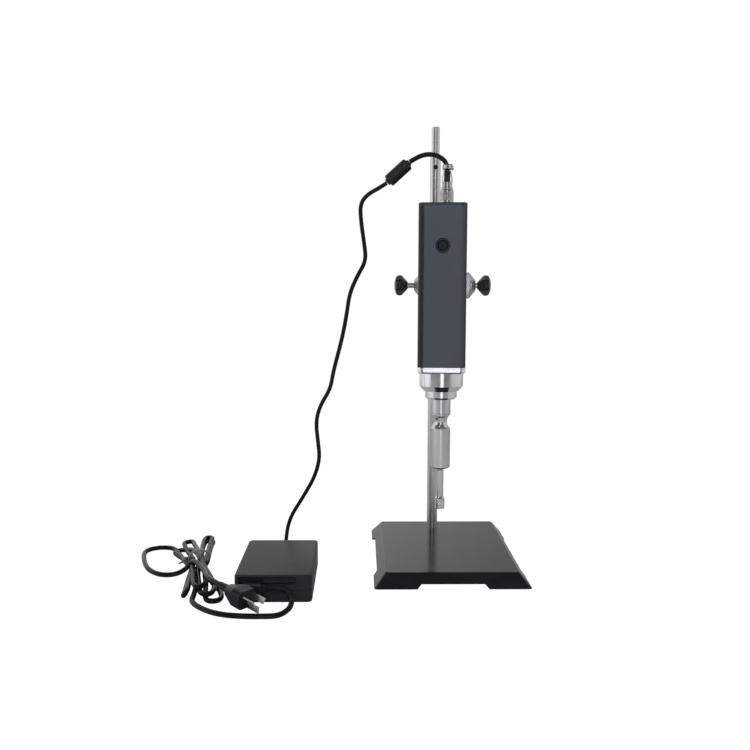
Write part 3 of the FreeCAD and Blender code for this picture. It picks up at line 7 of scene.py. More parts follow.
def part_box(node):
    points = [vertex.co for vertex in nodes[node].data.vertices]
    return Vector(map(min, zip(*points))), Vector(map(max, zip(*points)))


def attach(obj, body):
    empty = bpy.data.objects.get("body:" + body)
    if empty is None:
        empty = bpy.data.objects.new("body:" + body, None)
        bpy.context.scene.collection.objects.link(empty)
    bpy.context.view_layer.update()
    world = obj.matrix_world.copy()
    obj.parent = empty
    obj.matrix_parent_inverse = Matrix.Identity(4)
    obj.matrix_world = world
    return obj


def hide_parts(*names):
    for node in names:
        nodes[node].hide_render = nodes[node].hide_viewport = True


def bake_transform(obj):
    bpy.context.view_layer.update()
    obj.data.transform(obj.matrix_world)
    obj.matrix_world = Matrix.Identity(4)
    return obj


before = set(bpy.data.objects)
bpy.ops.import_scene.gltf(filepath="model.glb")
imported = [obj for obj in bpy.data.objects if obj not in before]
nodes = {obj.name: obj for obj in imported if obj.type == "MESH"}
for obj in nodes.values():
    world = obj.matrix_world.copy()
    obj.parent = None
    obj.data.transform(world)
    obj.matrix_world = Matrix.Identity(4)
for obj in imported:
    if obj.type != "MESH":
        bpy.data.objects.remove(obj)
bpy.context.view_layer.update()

bpy.ops.object.select_all(action="DESELECT")
print("cell disruptor: frame loaded,", len(nodes), "nodes")


# Shader helpers: a Value wraps a socket, so that sums on it become Math nodes

class Value:
    def __init__(self, finish, socket):
        self.finish, self.socket = finish, socket

    def maths(self, operation, first, second=None):
        given = {0: first} if second is None else {0: first, 1: second}
        return self.finish.node("ShaderNodeMath", {"operation": operation}, given)

    def __add__(self, other): return self.maths("ADD", self, other)
    def __radd__(self, other): return self.maths("ADD", other, self)
    def __sub__(self, other): return self.maths("SUBTRACT", self, other)
    def __rsub__(self, other): return self.maths("SUBTRACT", other, self)
    def __mul__(self, other): return self.maths("MULTIPLY", self, other)

    def sine(self): return self.maths("SINE", self)
    def size(self): return self.maths("ABSOLUTE", self)
    def highest(self, other): return self.maths("MAXIMUM", self, other)
    def lowest(self, other): return self.maths("MINIMUM", self, other)

    def ease(self, low, high):  # 0 below low, 1 above high, smooth between
        return self.finish.node("ShaderNodeMapRange", {"interpolation_type": "SMOOTHSTEP"},
                                {0: self, 1: low, 2: high, 3: 0.0, 4: 1.0})


class Finish:
    def __init__(self, name, **fixed):
        self.material = bpy.data.materials.new(name)
        self.material.use_nodes = True
        self.tree = self.material.node_tree
        self.shader = self.tree.nodes["Principled BSDF"]
        for socket, value in fixed.items():
            self.shader.inputs[socket.replace("_", " ")].default_value = value
        self.place = self.node("ShaderNodeTexCoord", out="Object")

    def node(self, kind, settings=None, given=None, out=0):
        made = self.tree.nodes.new(kind)
        for key, value in (settings or {}).items():
            setattr(made, key, value)
        for key, value in (given or {}).items():
            self.feed(made.inputs[key], value)
        return Value(self, made.outputs[out])

    def feed(self, socket, value):
        if isinstance(value, Value):
            self.tree.links.new(value.socket, socket)
        elif (hasattr(value, "__len__") and len(value) == 3
              and len(getattr(socket, "default_value", value)) == 4):  # a colour without its alpha
            socket.default_value = (*value, 1.0)
        else:
            socket.default_value = value

    def mapped(self, stretch=(1, 1, 1), shift=(0, 0, 0)):
        return self.node("ShaderNodeMapping", given={"Vector": self.place, "Scale": stretch,
                                                     "Location": shift})

    def axes(self, vector=None):
        split = self.tree.nodes.new("ShaderNodeSeparateXYZ")
        self.feed(split.inputs[0], vector or self.place)
        return [Value(self, out) for out in split.outputs]

    def noise(self, scale, detail=3.0, rough=0.55, vector=None):
        return self.node("ShaderNodeTexNoise", given={"Vector": vector or self.place, "Scale": scale,
                                                      "Detail": detail, "Roughness": rough})

    def cells(self, scale, vector=None):
        return self.node("ShaderNodeTexVoronoi", given={"Vector": vector or self.place, "Scale": scale})

    def tone(self, mask, low, high):  # colour between low and high
        return self.node("ShaderNodeMix", {"data_type": "RGBA"}, {0: mask, 6: low, 7: high}, out=2)

    def bump(self, height, strength, distance, below=None):
        given = {"Height": height, "Strength": strength, "Distance": distance}
        if below is not None:
            given["Normal"] = below
        return self.node("ShaderNodeBump", given=given)

    def set(self, **links):
        for socket, value in links.items():
            self.feed(self.shader.inputs[socket.replace("_", " ")], value)
        return self.material


# Finishes

# the last two entries are painted shade round the housing's corners: its colour, then the band it fades
# in over
housingTone = {"pale": (0.052, 0.059, 0.076), "deep": (0.036, 0.040, 0.051), "grain": 2600.0,
               "gloss": 0.40, "corner": (0.012, 0.013, 0.016), "cornerShadeBand": (0.0062, 0.0040)}


def anodisedHousing():
    f = Finish("anodisedHousing", Specular_IOR_Level=0.26)
    t = housingTone
    cloud = f.noise(9.0, 4.0, 0.6)
    grain = f.noise(t["grain"], 2.0, 0.7)
    drawn = f.noise(260.0, 2.0, 0.5, f.mapped((1.0, 1.0, 0.03)))  # faint lines along the extrusion
    face = f.tone((cloud * 0.7 + grain * 0.5 - 0.1).ease(0.2, 0.8), t["deep"], t["pale"])
    low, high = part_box("housing_sleeve")
    across = f.axes(f.mapped(shift=tuple(-(a + b) / 2 for a, b in zip(low, high))))[0]
    half = (high[0] - low[0]) / 2
    outer, inner = t["cornerShadeBand"]
    corner = across.size().ease(half - outer, half - inner)  # painted shade: darker round the corners, where they turn away from the light
    colour = f.tone(corner, face, t["corner"])
    rough = t["gloss"] + (grain - 0.5) * 0.16 + (cloud - 0.5) * 0.12 + (drawn - 0.5) * 0.06
    return f.set(Base_Color=colour, Roughness=rough,
                 Normal=f.bump(grain, 0.10, 0.0002, f.bump(drawn, 0.06, 0.0002)))


coverTone = {"top": (0.022, 0.023, 0.027), "gloss": 0.42}


def coverPlastic():
    f = Finish("coverPlastic")
    t = coverTone
    grain = f.cells(1500.0)
    cloud = f.noise(30.0)
    low = tuple(c * 0.8 for c in t["top"])
    return f.set(Base_Color=f.tone(cloud, low, t["top"]), Roughness=t["gloss"] + (cloud - 0.5) * 0.15,
                 Normal=f.bump(grain, 0.12, 0.0002))


enamelTone = {"colour": (0.0050, 0.0054, 0.0064), "dust": (0.060, 0.062, 0.063), "gloss": 0.15}


def baseEnamel():
    f = Finish("baseEnamel", Specular_IOR_Level=0.36)
    t = enamelTone
    ripple = f.noise(210.0, 2.0, 0.5)  # orange peel of sprayed enamel
    broad = f.noise(26.0, 3.0, 0.55)
    dust = f.noise(900.0, 4.0, 0.75).ease(0.62, 0.80)
    smear = f.noise(14.0, 4.0, 0.6, f.mapped((1.0, 3.0, 1.0))).ease(0.45, 0.75)
    colour = f.tone(dust * 0.25 + smear * 0.06, t["colour"], t["dust"])
    rough = t["gloss"] + (broad - 0.5) * 0.10 + dust * 0.25 + smear * 0.08
    return f.set(Base_Color=colour, Roughness=rough,
                 Normal=f.bump(ripple, 0.10, 0.0006, f.bump(broad, 0.12, 0.0012)))


def footRubber():
    f = Finish("footRubber")
    grain = f.noise(1400.0, 3.0, 0.7)
    return f.set(Base_Color=f.tone(grain, (0.012, 0.012, 0.013), (0.03, 0.03, 0.031)),
                 Roughness=0.75 + (grain - 0.5) * 0.2, Normal=f.bump(grain, 0.2, 0.0003))


columnTone = {"colour": (0.74, 0.735, 0.73), "streak": (0.56, 0.555, 0.55), "gloss": 0.30}


def columnSteel():
    f = Finish("columnSteel", Metallic=1.0)
    t = columnTone
    drawn = f.noise(900.0, 3.0, 0.6, f.mapped((1.0, 1.0, 0.012)))
    stain = f.noise(42.0, 5.0, 0.6)
    scuff = f.noise(320.0, 2.0, 0.5, f.mapped((0.2, 0.2, 1.0))).ease(0.62, 0.72)
    colour = f.tone(drawn * 0.5 + stain.ease(0.55, 0.9) * 0.4, t["colour"], t["streak"])
    rough = t["gloss"] + (drawn - 0.5) * 0.14 + scuff * 0.10 + (stain - 0.5) * 0.08
    return f.set(Base_Color=colour, Roughness=rough, Normal=f.bump(drawn, 0.07, 0.0001))


def turnedMetal(name, colour, shade, gloss, rings=5200.0, ringGloss=0.12, ringBump=0.08):
    f = Finish(name, Metallic=1.0)  # lathe rings round the part's own height
    height = f.axes()[2]
    cut = (height * rings).sine()
    wander = f.noise(120.0, 4.0, 0.6)
    smudge = f.noise(55.0, 5.0, 0.65).ease(0.5, 0.85)
    tone = f.tone(smudge * 0.55 + (cut * 0.5 + 0.5) * 0.15, colour, shade)
    rough = gloss + cut * ringGloss * 0.4 + smudge * 0.10 + (wander - 0.5) * 0.08
    return f.set(Base_Color=tone, Roughness=rough,
                 Normal=f.bump(cut * (wander * 0.8 + 0.3), ringBump, 0.00008))


castTone = {"pale": (0.66, 0.66, 0.66), "deep": (0.42, 0.42, 0.425), "gloss": 0.38}


def castMetal():
    f = Finish("castMetal", Metallic=0.85)
    t = castTone
    skin = f.noise(420.0, 4.0, 0.65)
    lump = f.noise(70.0, 3.0, 0.5)
    pit = f.cells(700.0).ease(0.0, 0.22)
    colour = f.tone(skin * 0.7 + (1 - pit) * 0.5, t["pale"], t["deep"])
    return f.set(Base_Color=colour, Roughness=t["gloss"] + (skin - 0.5) * 0.22,
                 Normal=f.bump(skin + lump * 1.6, 0.30, 0.0005, f.bump(pit, 0.15, 0.0003)))


def zincScrew():
    f = Finish("zincScrew", Metallic=1.0)
    tarnish = f.noise(380.0, 4.0, 0.6)
    colour = f.tone(tarnish, (0.66, 0.65, 0.62), (0.38, 0.38, 0.37))
    return f.set(Base_Color=colour, Roughness=0.26 + (tarnish - 0.5) * 0.2,
                 Normal=f.bump(tarnish, 0.08, 0.0002))


def mouldedPlastic(name, colour, gloss, grain=0.0, grainScale=1600.0, dusty=0.2, specular=0.35):
    f = Finish(name, Specular_IOR_Level=specular)
    cloud = f.noise(45.0, 4.0, 0.6)
    fine = f.noise(grainScale, 3.0, 0.6)
    speck = f.noise(850.0, 5.0, 0.8).ease(0.63, 0.78)
    low = tuple(c * 0.75 for c in colour)
    dust = tuple(c + 0.03 for c in colour)
    tone = f.tone(speck * dusty, f.tone(cloud, low, colour), dust)
    rough = gloss + (cloud - 0.5) * 0.12 + (fine - 0.5) * grain * 0.5 + speck * 0.12
    return f.set(Base_Color=tone, Roughness=rough, Normal=f.bump(fine, 0.05 + grain, 0.0003))


def blackOxide():
    f = Finish("blackOxide", Metallic=0.8)
    worn = f.noise(600.0, 3.0, 0.6)
    return f.set(Base_Color=f.tone(worn.ease(0.5, 0.8), (0.02, 0.02, 0.022), (0.07, 0.068, 0.065)),
                 Roughness=0.34 + (worn - 0.5) * 0.2, Normal=f.bump(worn, 0.1, 0.0002))


def sealRubber():
    f = Finish("sealRubber")
    bloom = f.noise(500.0, 3.0, 0.6)
    return f.set(Base_Color=f.tone(bloom, (0.012, 0.012, 0.012), (0.035, 0.034, 0.033)),
                 Roughness=0.5 + bloom * 0.2)


def piezoCeramic():
    f = Finish("piezoCeramic")
    mottle = f.noise(300.0, 4.0, 0.6)
    return f.set(Base_Color=f.tone(mottle, (0.28, 0.25, 0.2), (0.42, 0.38, 0.31)),
                 Roughness=0.55 + mottle * 0.2)


def circuitBoard():
    f = Finish("circuitBoard")
    mask = f.cells(420.0, f.mapped((1.0, 1.0, 0.35))).ease(0.25, 0.3)
    return f.set(Base_Color=f.tone(mask, (0.015, 0.085, 0.035), (0.02, 0.15, 0.06)),
                 Roughness=0.35 + mask * 0.1)


cordTone = {"colour": (0.0036, 0.0036, 0.0044), "worn": (0.014, 0.014, 0.016), "gloss": 0.24}


def cordJacket():
    f = Finish("cordJacket", Specular_IOR_Level=0.22)
    t = cordTone
    fine = f.noise(1900.0, 3.0, 0.6)
    wave = f.noise(60.0, 3.0, 0.5)
    scuff = f.noise(420.0, 5.0, 0.7).ease(0.58, 0.75)
    return f.set(Base_Color=f.tone(scuff * 0.4, t["colour"], t["worn"]),
                 Roughness=t["gloss"] + (wave - 0.5) * 0.12 + scuff * 0.12 + (fine - 0.5) * 0.06,
                 Normal=f.bump(fine, 0.06, 0.0002, f.bump(wave, 0.08, 0.001)))


adapterTone = {"colour": (0.0125, 0.0135, 0.0145), "deep": (0.0075, 0.0085, 0.0105), "gloss": 0.44}


def adapterPlastic():
    f = Finish("adapterPlastic", Specular_IOR_Level=0.30)
    t = adapterTone
    spark = f.cells(1300.0).ease(0.05, 0.6)  # spark-eroded mould texture
    fine = f.noise(2400.0, 2.0, 0.7)
    cloud = f.noise(22.0, 4.0, 0.6)
    rub = f.noise(160.0, 5.0, 0.7).ease(0.60, 0.78)
    colour = f.tone(cloud * 0.6 + fine * 0.5 - 0.05, t["deep"], t["colour"])
    rough = t["gloss"] + (cloud - 0.5) * 0.10 - rub * 0.08 + (fine - 0.5) * 0.12
    return f.set(Base_Color=colour, Roughness=rough, Normal=f.bump(spark, 0.22, 0.0003))


finishes = {
    "housing": anodisedHousing(),
    "cover": coverPlastic(),
    "base": baseEnamel(),
    "rubber": footRubber(),
    "column": columnSteel(),
    "satin": turnedMetal("satinPlate", (0.95, 0.95, 0.95), (0.84, 0.84, 0.84), 0.24, 2600.0, 0.06, 0.04),
    "collar": turnedMetal("turnedCollar", (0.82, 0.825, 0.84), (0.68, 0.68, 0.70), 0.13, 7000.0),
    "horn": turnedMetal("polishedHorn", (0.74, 0.745, 0.75), (0.56, 0.56, 0.56), 0.16, 8200.0),
    "cast": castMetal(),
    "zinc": zincScrew(),
    "knob": mouldedPlastic("knobPlastic", (0.008, 0.008, 0.009), 0.22, 0.05, specular=0.5),
    "button": mouldedPlastic("buttonPlastic", (0.005, 0.006, 0.010), 0.12, 0.02, dusty=0.03,
                             specular=0.12),
    "bezel": mouldedPlastic("bezelPlastic", (0.005, 0.006, 0.009), 0.16, 0.02, dusty=0.03,
                            specular=0.30),
    "dark": mouldedPlastic("darkPlastic", (0.012, 0.012, 0.014), 0.42, 0.15),
    "bead": mouldedPlastic("beadPlastic", (0.008, 0.008, 0.009), 0.34, 0.20, 1200.0),
    "plug": mouldedPlastic("plugPlastic", (0.006, 0.0065, 0.008), 0.34, 0.20, 1300.0, 0.1, 0.25),
    "screw": blackOxide(),
    "seal": sealRubber(),
    "ceramic": piezoCeramic(),
    "board": circuitBoard(),
    "nickel": turnedMetal("nickelPlate", (0.60, 0.575, 0.565), (0.42, 0.40, 0.39), 0.27, 6000.0, 0.08,
                          0.05),
    "brass": turnedMetal("brassStrip", (0.80, 0.58, 0.27), (0.62, 0.43, 0.19), 0.25, 3000.0),
    "cord": cordJacket(),
    "adapter": adapterPlastic(),
    "tie": mouldedPlastic("tiePlastic", (0.060, 0.060, 0.064), 0.22, 0.04, specular=0.6),
}

wears = {
    "housing": ["housing_sleeve"],
    "cover": ["top_cover"],
    "base": ["base_plate"],
    "rubber": ["base_feet"],
    "column": ["column_tube", "column_rod", "head_post"],
    "satin": ["bottom_plate"],
    "collar": ["nose_collar", "retaining_nut", "flange_sleeve"],
    "horn": ["horn", "horn_tip", "front_mass"],
    "cast": ["clamp_body", "post_plate"],
    "zinc": ["clamp_screw_left", "clamp_screw_right", "column_stud", "column_nut_and_washer",
             "rear_mass", "preload_bolt", "horn_stud", "button_spring", "panel_nuts"],
    "knob": ["clamp_knob_left", "clamp_knob_right"],
    "button": ["button_cap"],
    "bezel": ["button_bezel"],
    "dark": ["button_switch", "driver_components", "socket_insert", "plug_insert", "cord_sleeve",
             "adapter_relief", "adapter_inlet"],
    "bead": ["ferrite_bead"],
    "plug": ["mains_plug", "mains_connector"],
    "screw": ["cover_screws", "post_plate_screws", "rod_lock_screw"],
    "seal": ["seal_rings"],
    "ceramic": ["piezo_discs"],
    "board": ["driver_board", "adapter_converter"],
    "nickel": ["socket_shell", "plug_coupling_ring", "plug_body", "plug_clamp_screws",
               "mains_plug_pins"],
    "brass": ["electrode_plates"],
    "cord": ["dc_cord_upper", "dc_cord_lower", "mains_lead_ends", "mains_lead_loop", "mains_hank"],
    "adapter": ["adapter_upper_shell", "adapter_lower_shell"],
    "tie": ["mains_tie"],
}

for finishName, worn in wears.items():
    for nodeName in worn:
        mesh = nodes[nodeName].data
        mesh.materials.clear()
        mesh.materials.append(finishes[finishName])
print("cell disruptor: finishes on", sum(len(worn) for worn in wears.values()), "nodes")


# Camera, at the photograph's place and angle

cameraFacts = {"place": (-0.0902, -0.9177, 0.2896), "rightDeg": 0.94, "downDeg": 5.65, "rollDeg": -0.18,
               "focal": 866.0, "frame": 750.0, "sensor": 36.0, "near": 0.02, "far": 60.0}


def placeCamera():
    c = cameraFacts
    made = bpy.data.cameras.new("studioCamera")
    made.sensor_width = c["sensor"]
    made.lens = c["focal"] / c["frame"] * c["sensor"]
    made.clip_start, made.clip_end = c["near"], c["far"]
    camera = bpy.data.objects.new("studioCamera", made)
    bpy.context.scene.collection.objects.link(camera)
    turn = (Matrix.Rotation(math.radians(-c["rightDeg"]), 4, "Z")
            @ Matrix.Rotation(math.radians(90 - c["downDeg"]), 4, "X")
            @ Matrix.Rotation(math.radians(-c["rollDeg"]), 4, "Z"))
    camera.matrix_world = Matrix.Translation(c["place"]) @ turn
    bpy.context.scene.camera = camera
    bpy.context.view_layer.update()


placeCamera()
print("cell disruptor: camera placed")


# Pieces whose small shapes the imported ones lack

smoothAngle = math.radians(35)


def freshStart():
    bpy.ops.object.select_all(action="DESELECT")


def pickFaces(mesh, wanted):
    for face in mesh.faces:
        face.select_set(False)
    mesh.select_flush(False)
    for face in mesh.faces:
        if wanted(face):
            face.select_set(True)


def editing(piece):
    bpy.context.view_layer.objects.active = piece
    bpy.ops.object.mode_set(mode="EDIT")
    bpy.ops.mesh.select_mode(type="FACE")
    return bmesh.from_edit_mesh(piece.data)


def doneEditing(piece):
    bpy.ops.mesh.select_all(action="SELECT")
    bpy.ops.mesh.remove_doubles(threshold=0.00001)
    bpy.ops.mesh.normals_make_consistent(inside=False)
    bpy.ops.object.mode_set(mode="OBJECT")
    bpy.ops.object.transform_apply(location=True, rotation=True, scale=True)
    bpy.ops.object.shade_smooth_by_angle(angle=smoothAngle)
    freshStart()


def rounded(piece, width, segments=3, angle=35):
    bpy.context.view_layer.objects.active = piece
    bevel = piece.modifiers.new("roundedEdges", "BEVEL")
    bevel.width, bevel.segments = width, segments
    bevel.limit_method, bevel.angle_limit = "ANGLE", math.radians(angle)
    bpy.ops.object.modifier_apply(modifier=bevel.name)


bezelShape = {"radius": 0.0071, "thick": 0.0016, "bore": 0.00475, "edge": 0.0009, "proud": 0.0009,
              "deep": 0.0034}


def buttonRing():
    c = bezelShape
    low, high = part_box("button_bezel")
    x, z = (low[0] + high[0]) / 2, (low[2] + high[2]) / 2
    face = low[1] + c["proud"]  # the housing's front
    freshStart()
    bpy.ops.mesh.primitive_cylinder_add(vertices=64, radius=c["radius"], depth=c["thick"],
                                        location=(x, face - c["thick"] / 2, z),
                                        rotation=(math.pi / 2, 0, 0))
    piece = bpy.context.object
    piece.name = "buttonRing"
    bpy.ops.object.transform_apply(location=True, rotation=True, scale=True)
    mesh = editing(piece)
    pickFaces(mesh, lambda f: f.normal.y < -0.9)
    bpy.ops.mesh.inset(thickness=c["radius"] - c["bore"])
    bpy.ops.mesh.extrude_region_move(TRANSFORM_OT_translate={"value": (0, c["deep"], 0)})
    doneEditing(piece)
    rounded(piece, c["edge"], 4)
    piece.data.materials.append(finishes["bezel"])
    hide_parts("button_bezel")
    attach(piece, "head")


lockShape = {"radius": 0.00245, "proud": 0.0004, "socket": 0.0013, "deep": 0.0012, "edge": 0.0002}


def lockScrew():
    c = lockShape
    low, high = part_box("rod_lock_screw")
    x, z = (low[0] + high[0]) / 2, (low[2] + high[2]) / 2
    back, tube = high[1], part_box("column_tube")[0][1]
    front = tube - c["proud"]
    freshStart()
    bpy.ops.mesh.primitive_cylinder_add(vertices=36, radius=c["radius"], depth=back - front,
                                        location=(x, (back + front) / 2, z),
                                        rotation=(math.pi / 2, 0, 0))
    piece = bpy.context.object
    piece.name = "lockScrew"
    bpy.ops.object.transform_apply(location=True, rotation=True, scale=True)
    mesh = editing(piece)
    pickFaces(mesh, lambda f: f.normal.y < -0.9)
    bpy.ops.mesh.inset(thickness=c["radius"] - c["socket"])
    bpy.ops.mesh.extrude_region_move(TRANSFORM_OT_translate={"value": (0, c["deep"], 0)})
    doneEditing(piece)
    rounded(piece, c["edge"], 2)
    piece.data.materials.append(finishes["screw"])
    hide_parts("rod_lock_screw")
    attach(piece, "rod_screw")


plugShape = {
    # radius and top of each step of the barrel, then its wall and the floor inside it
    "neck": (0.0044, 0.3840), "ring": 0.3884, "lap": 0.0002, "band": (0.0060, 0.3910),
    "barrel": (0.0052, 0.3962), "wall": 0.0010, "floor": 0.0006,
    # thickness and width of an arm, its straight foot, and how far that starts inside the barrel
    "arm": (0.0010, 0.0054), "foot": 0.005, "root": 0.001, "pinch": 0.4066, "top": 0.4136,
    "under": 0.0005,
    # the saddle's two halves, which leave the cord and a gap between them
    "wing": (0.0126, 0.0050), "cord": 0.0026, "slack": 0.0002, "half": 0.0048, "gap": 0.00025,
    "wingEdge": 0.0011, "edge": 0.00025,
}


def plugShell():
    c = plugShape
    low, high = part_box("plug_coupling_ring")
    x, y = (low[0] + high[0]) / 2, (low[1] + high[1]) / 2
    parts = []

    freshStart()  # barrel with its band, drawn up from the neck
    shoulder = c["ring"] + c["lap"]
    bpy.ops.mesh.primitive_cylinder_add(vertices=64, radius=c["neck"][0], depth=shoulder - c["neck"][1],
                                        location=(x, y, (shoulder + c["neck"][1]) / 2))
    barrel = bpy.context.object
    bpy.ops.object.transform_apply(location=True)
    mesh = editing(barrel)
    pickFaces(mesh, lambda f: f.normal.z > 0.9)
    centre = (x, y, c["ring"])
    for radius, rise in ((c["band"][0], 0.0), (None, c["band"][1] - c["ring"]), (c["barrel"][0], 0.0),
                         (None, c["barrel"][1] - c["band"][1]), (c["barrel"][0] - c["wall"], 0.0),
                         (None, -(c["barrel"][1] - c["band"][1] - c["floor"]))):
        bpy.ops.mesh.extrude_region_move(TRANSFORM_OT_translate={"value": (0, 0, rise)})
        if radius:
            now = max(math.hypot(v.co.x - x, v.co.y - y)
                      for v in bmesh.from_edit_mesh(barrel.data).verts if v.select)
            bpy.ops.transform.resize(value=(radius / now, radius / now, 1), center_override=centre)
    doneEditing(barrel)
    rounded(barrel, c["edge"], 2, 50)
    parts.append(barrel)

    thick, wide = c["arm"]
    freshStart()  # one arm, bent in towards the cord, then its saddle
    reach = c["barrel"][0] - thick / 2
    root = c["barrel"][1] - c["root"]
    bpy.ops.mesh.primitive_cube_add(size=1, location=(x + reach, y, root + c["foot"] / 2),
                                    scale=(thick, wide, c["foot"]))
    arm = bpy.context.object
    bpy.ops.object.transform_apply(location=True, scale=True)
    mesh = editing(arm)
    pickFaces(mesh, lambda f: f.normal.z > 0.9)
    inward = c["cord"] + thick / 2 + c["slack"] - reach
    upward = c["pinch"] - (root + c["foot"])
    straight = c["top"] - c["pinch"] - c["under"]
    bpy.ops.mesh.extrude_region_move(TRANSFORM_OT_translate={"value": (inward, 0, upward)})
    bpy.ops.mesh.extrude_region_move(TRANSFORM_OT_translate={"value": (0, 0, straight)})
    doneEditing(arm)
    rounded(arm, c["edge"], 2, 50)
    long, tall = c["wing"]
    freshStart()
    middle = (x + (c["half"] + c["gap"]) / 2, y, c["top"] - tall / 2)
    bpy.ops.mesh.primitive_cube_add(size=1, location=middle, scale=(c["half"] - c["gap"], long, tall))
    saddle = bpy.context.object
    bpy.ops.object.transform_apply(location=True, scale=True)
    rounded(saddle, c["wingEdge"], 4, 50)
    freshStart()
    bpy.ops.mesh.primitive_cylinder_add(vertices=48, radius=c["cord"], depth=tall * 6,
                                        location=(x, y, c["top"]))
    bore = bpy.context.object
    bpy.context.view_layer.objects.active = saddle
    cut = saddle.modifiers.new("cordBore", "BOOLEAN")
    cut.object, cut.operation, cut.solver = bore, "DIFFERENCE", "EXACT"
    bpy.ops.object.modifier_apply(modifier=cut.name)
    bpy.data.objects.remove(bore)
    for piece in (arm, saddle):
        twin = piece.copy()
        twin.data = piece.data.copy()
        bpy.context.scene.collection.objects.link(twin)
        twin.data.transform(Matrix.Translation((x, y, 0)) @ Matrix.Rotation(math.pi, 4, "Z")
                            @ Matrix.Translation((-x, -y, 0)))
        parts += [piece, twin]

    freshStart()
    for piece in parts:
        piece.select_set(True)
    bpy.context.view_layer.objects.active = barrel
    bpy.ops.object.join()
    barrel.name = "plugShell"
    bpy.ops.object.transform_apply(location=True, rotation=True, scale=True)
    bpy.ops.object.shade_smooth_by_angle(angle=smoothAngle)
    freshStart()
    barrel.data.materials.append(finishes["nickel"])
    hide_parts("plug_body")
    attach(barrel, "head")


tieShape = {"centre": (-0.2575, -0.0400), "turnDeg": 14.0, "half": (0.0104, 0.0096), "height": 0.0106,
            "wide": 0.0024, "thick": 0.0008, "tailRadius": 0.0009,
            # each turn's place along the bundle and its lean
            "turns": ((-0.0022, 7.0), (0.0002, -9.0), (0.0024, 3.0)),
            "tail": [(-0.0090, 0.0, 0.0085), (-0.0130, -0.0010, 0.0095), (-0.0165, -0.0020, 0.0120)],
            "fork": [(-0.0130, -0.0010, 0.0095), (-0.0165, 0.0030, 0.0085), (-0.0205, 0.0050, 0.0060)]}


def bundleTie():
    c = tieShape
    parts = []
    for along, lean in c["turns"]:
        freshStart()
        bpy.ops.mesh.primitive_circle_add(vertices=72, radius=c["half"][0], rotation=(math.pi / 2, 0, 0))
        turn = bpy.context.object
        bpy.ops.object.transform_apply(rotation=True)
        turn.data.transform(Matrix.Diagonal((1.0, 1.0, c["half"][1] / c["half"][0], 1.0)))
        editing(turn)
        bpy.ops.mesh.select_mode(type="EDGE")
        bpy.ops.mesh.select_all(action="SELECT")
        bpy.ops.mesh.extrude_region_move(TRANSFORM_OT_translate={"value": (0, c["wide"], 0)})
        doneEditing(turn)
        bpy.context.view_layer.objects.active = turn
        wall = turn.modifiers.new("strip", "SOLIDIFY")
        wall.thickness, wall.offset = c["thick"], 1.0
        bpy.ops.object.modifier_apply(modifier=wall.name)
        turn.data.transform(Matrix.Translation((0, along - c["wide"] / 2, c["height"]))
                            @ Matrix.Rotation(math.radians(lean), 4, "Z"))
        parts.append(turn)
    for points in (c["tail"], c["fork"]):
        tail = bpy.data.curves.new("tieTail", "CURVE")
        tail.dimensions = "3D"
        spline = tail.splines.new("NURBS")
        spline.points.add(len(points) - 1)
        for spot, point in zip(spline.points, points):
            spot.co = (*point, 1.0)
        spline.order_u = 3
        spline.use_endpoint_u = True
        tail.bevel_depth = c["tailRadius"]
        tail.use_fill_caps = True
        wire = bpy.data.objects.new("tieTail", tail)
        bpy.context.scene.collection.objects.link(wire)
        parts.append(bpy.data.objects.new("tieTailMesh", bpy.data.meshes.new_from_object(wire)))
        bpy.context.scene.collection.objects.link(parts[-1])
        bpy.data.objects.remove(wire)
    freshStart()
    for piece in parts:
        piece.select_set(True)
    bpy.context.view_layer.objects.active = parts[0]
    bpy.ops.object.join()
    tie = parts[0]
    tie.name = "bundleTie"
    tie.data.transform(Matrix.Translation((*c["centre"], 0))
                       @ Matrix.Rotation(math.radians(c["turnDeg"]), 4, "Z"))
    tie.data.update()
    bpy.ops.object.shade_smooth_by_angle(angle=smoothAngle)
    freshStart()
    tie.data.materials.clear()
    tie.data.materials.append(finishes["tie"])
    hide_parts("mains_tie")
    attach(tie, "stand")
    return tie


adapterShape = {"corner": 0.0046, "edge": 0.0018, "foot": 0.0008, "split": 0.0125, "seam": 0.00025,
                # the recess along the front: its ends' distances, its height, depth and soft edge
                "recess": (0.0040, 0.0150), "height": (0.0186, 0.0254), "deep": 0.0045,
                "recessEdge": 0.0012,
                # the inlet's opening: x, z, width, height and depth
                "inlet": (-0.188, 0.011, 0.0182, 0.0112, 0.0172), "inletEdge": 0.0003,
                "clear": 0.01,  # how far a cutting box stands out in front
                "pad": (0.005, 0.0018), "padInset": 0.013}


def adapterHalf(name, low, high, z0, z1, roundedEnd):
    c = adapterShape
    freshStart()
    middle = ((low[0] + high[0]) / 2, (low[1] + high[1]) / 2, (z0 + z1) / 2)
    bpy.ops.mesh.primitive_cube_add(size=1, location=middle,
                                    scale=(high[0] - low[0], high[1] - low[1], z1 - z0))
    half = bpy.context.object
    half.name = name
    bpy.ops.object.transform_apply(location=True, scale=True)
    bpy.ops.object.mode_set(mode="EDIT")
    bpy.ops.mesh.select_mode(type="EDGE")
    mesh = bmesh.from_edit_mesh(half.data)
    for edge in mesh.edges:
        edge.select_set(abs(edge.verts[0].co.z - edge.verts[1].co.z) > 0.001)
    bpy.ops.mesh.bevel(offset=c["corner"], segments=6)
    mesh = bmesh.from_edit_mesh(half.data)
    end = z1 if roundedEnd > 0 else z0
    for edge in mesh.edges:
        edge.select_set(all(abs(v.co.z - end) < 1e-6 for v in edge.verts))
    bpy.ops.mesh.bevel(offset=c["edge"], segments=4)
    mesh = bmesh.from_edit_mesh(half.data)
    seam = z0 if roundedEnd > 0 else z1
    for edge in mesh.edges:
        edge.select_set(all(abs(v.co.z - seam) < 1e-6 for v in edge.verts))
    bpy.ops.mesh.bevel(offset=c["seam"], segments=1)
    doneEditing(half)
    return half


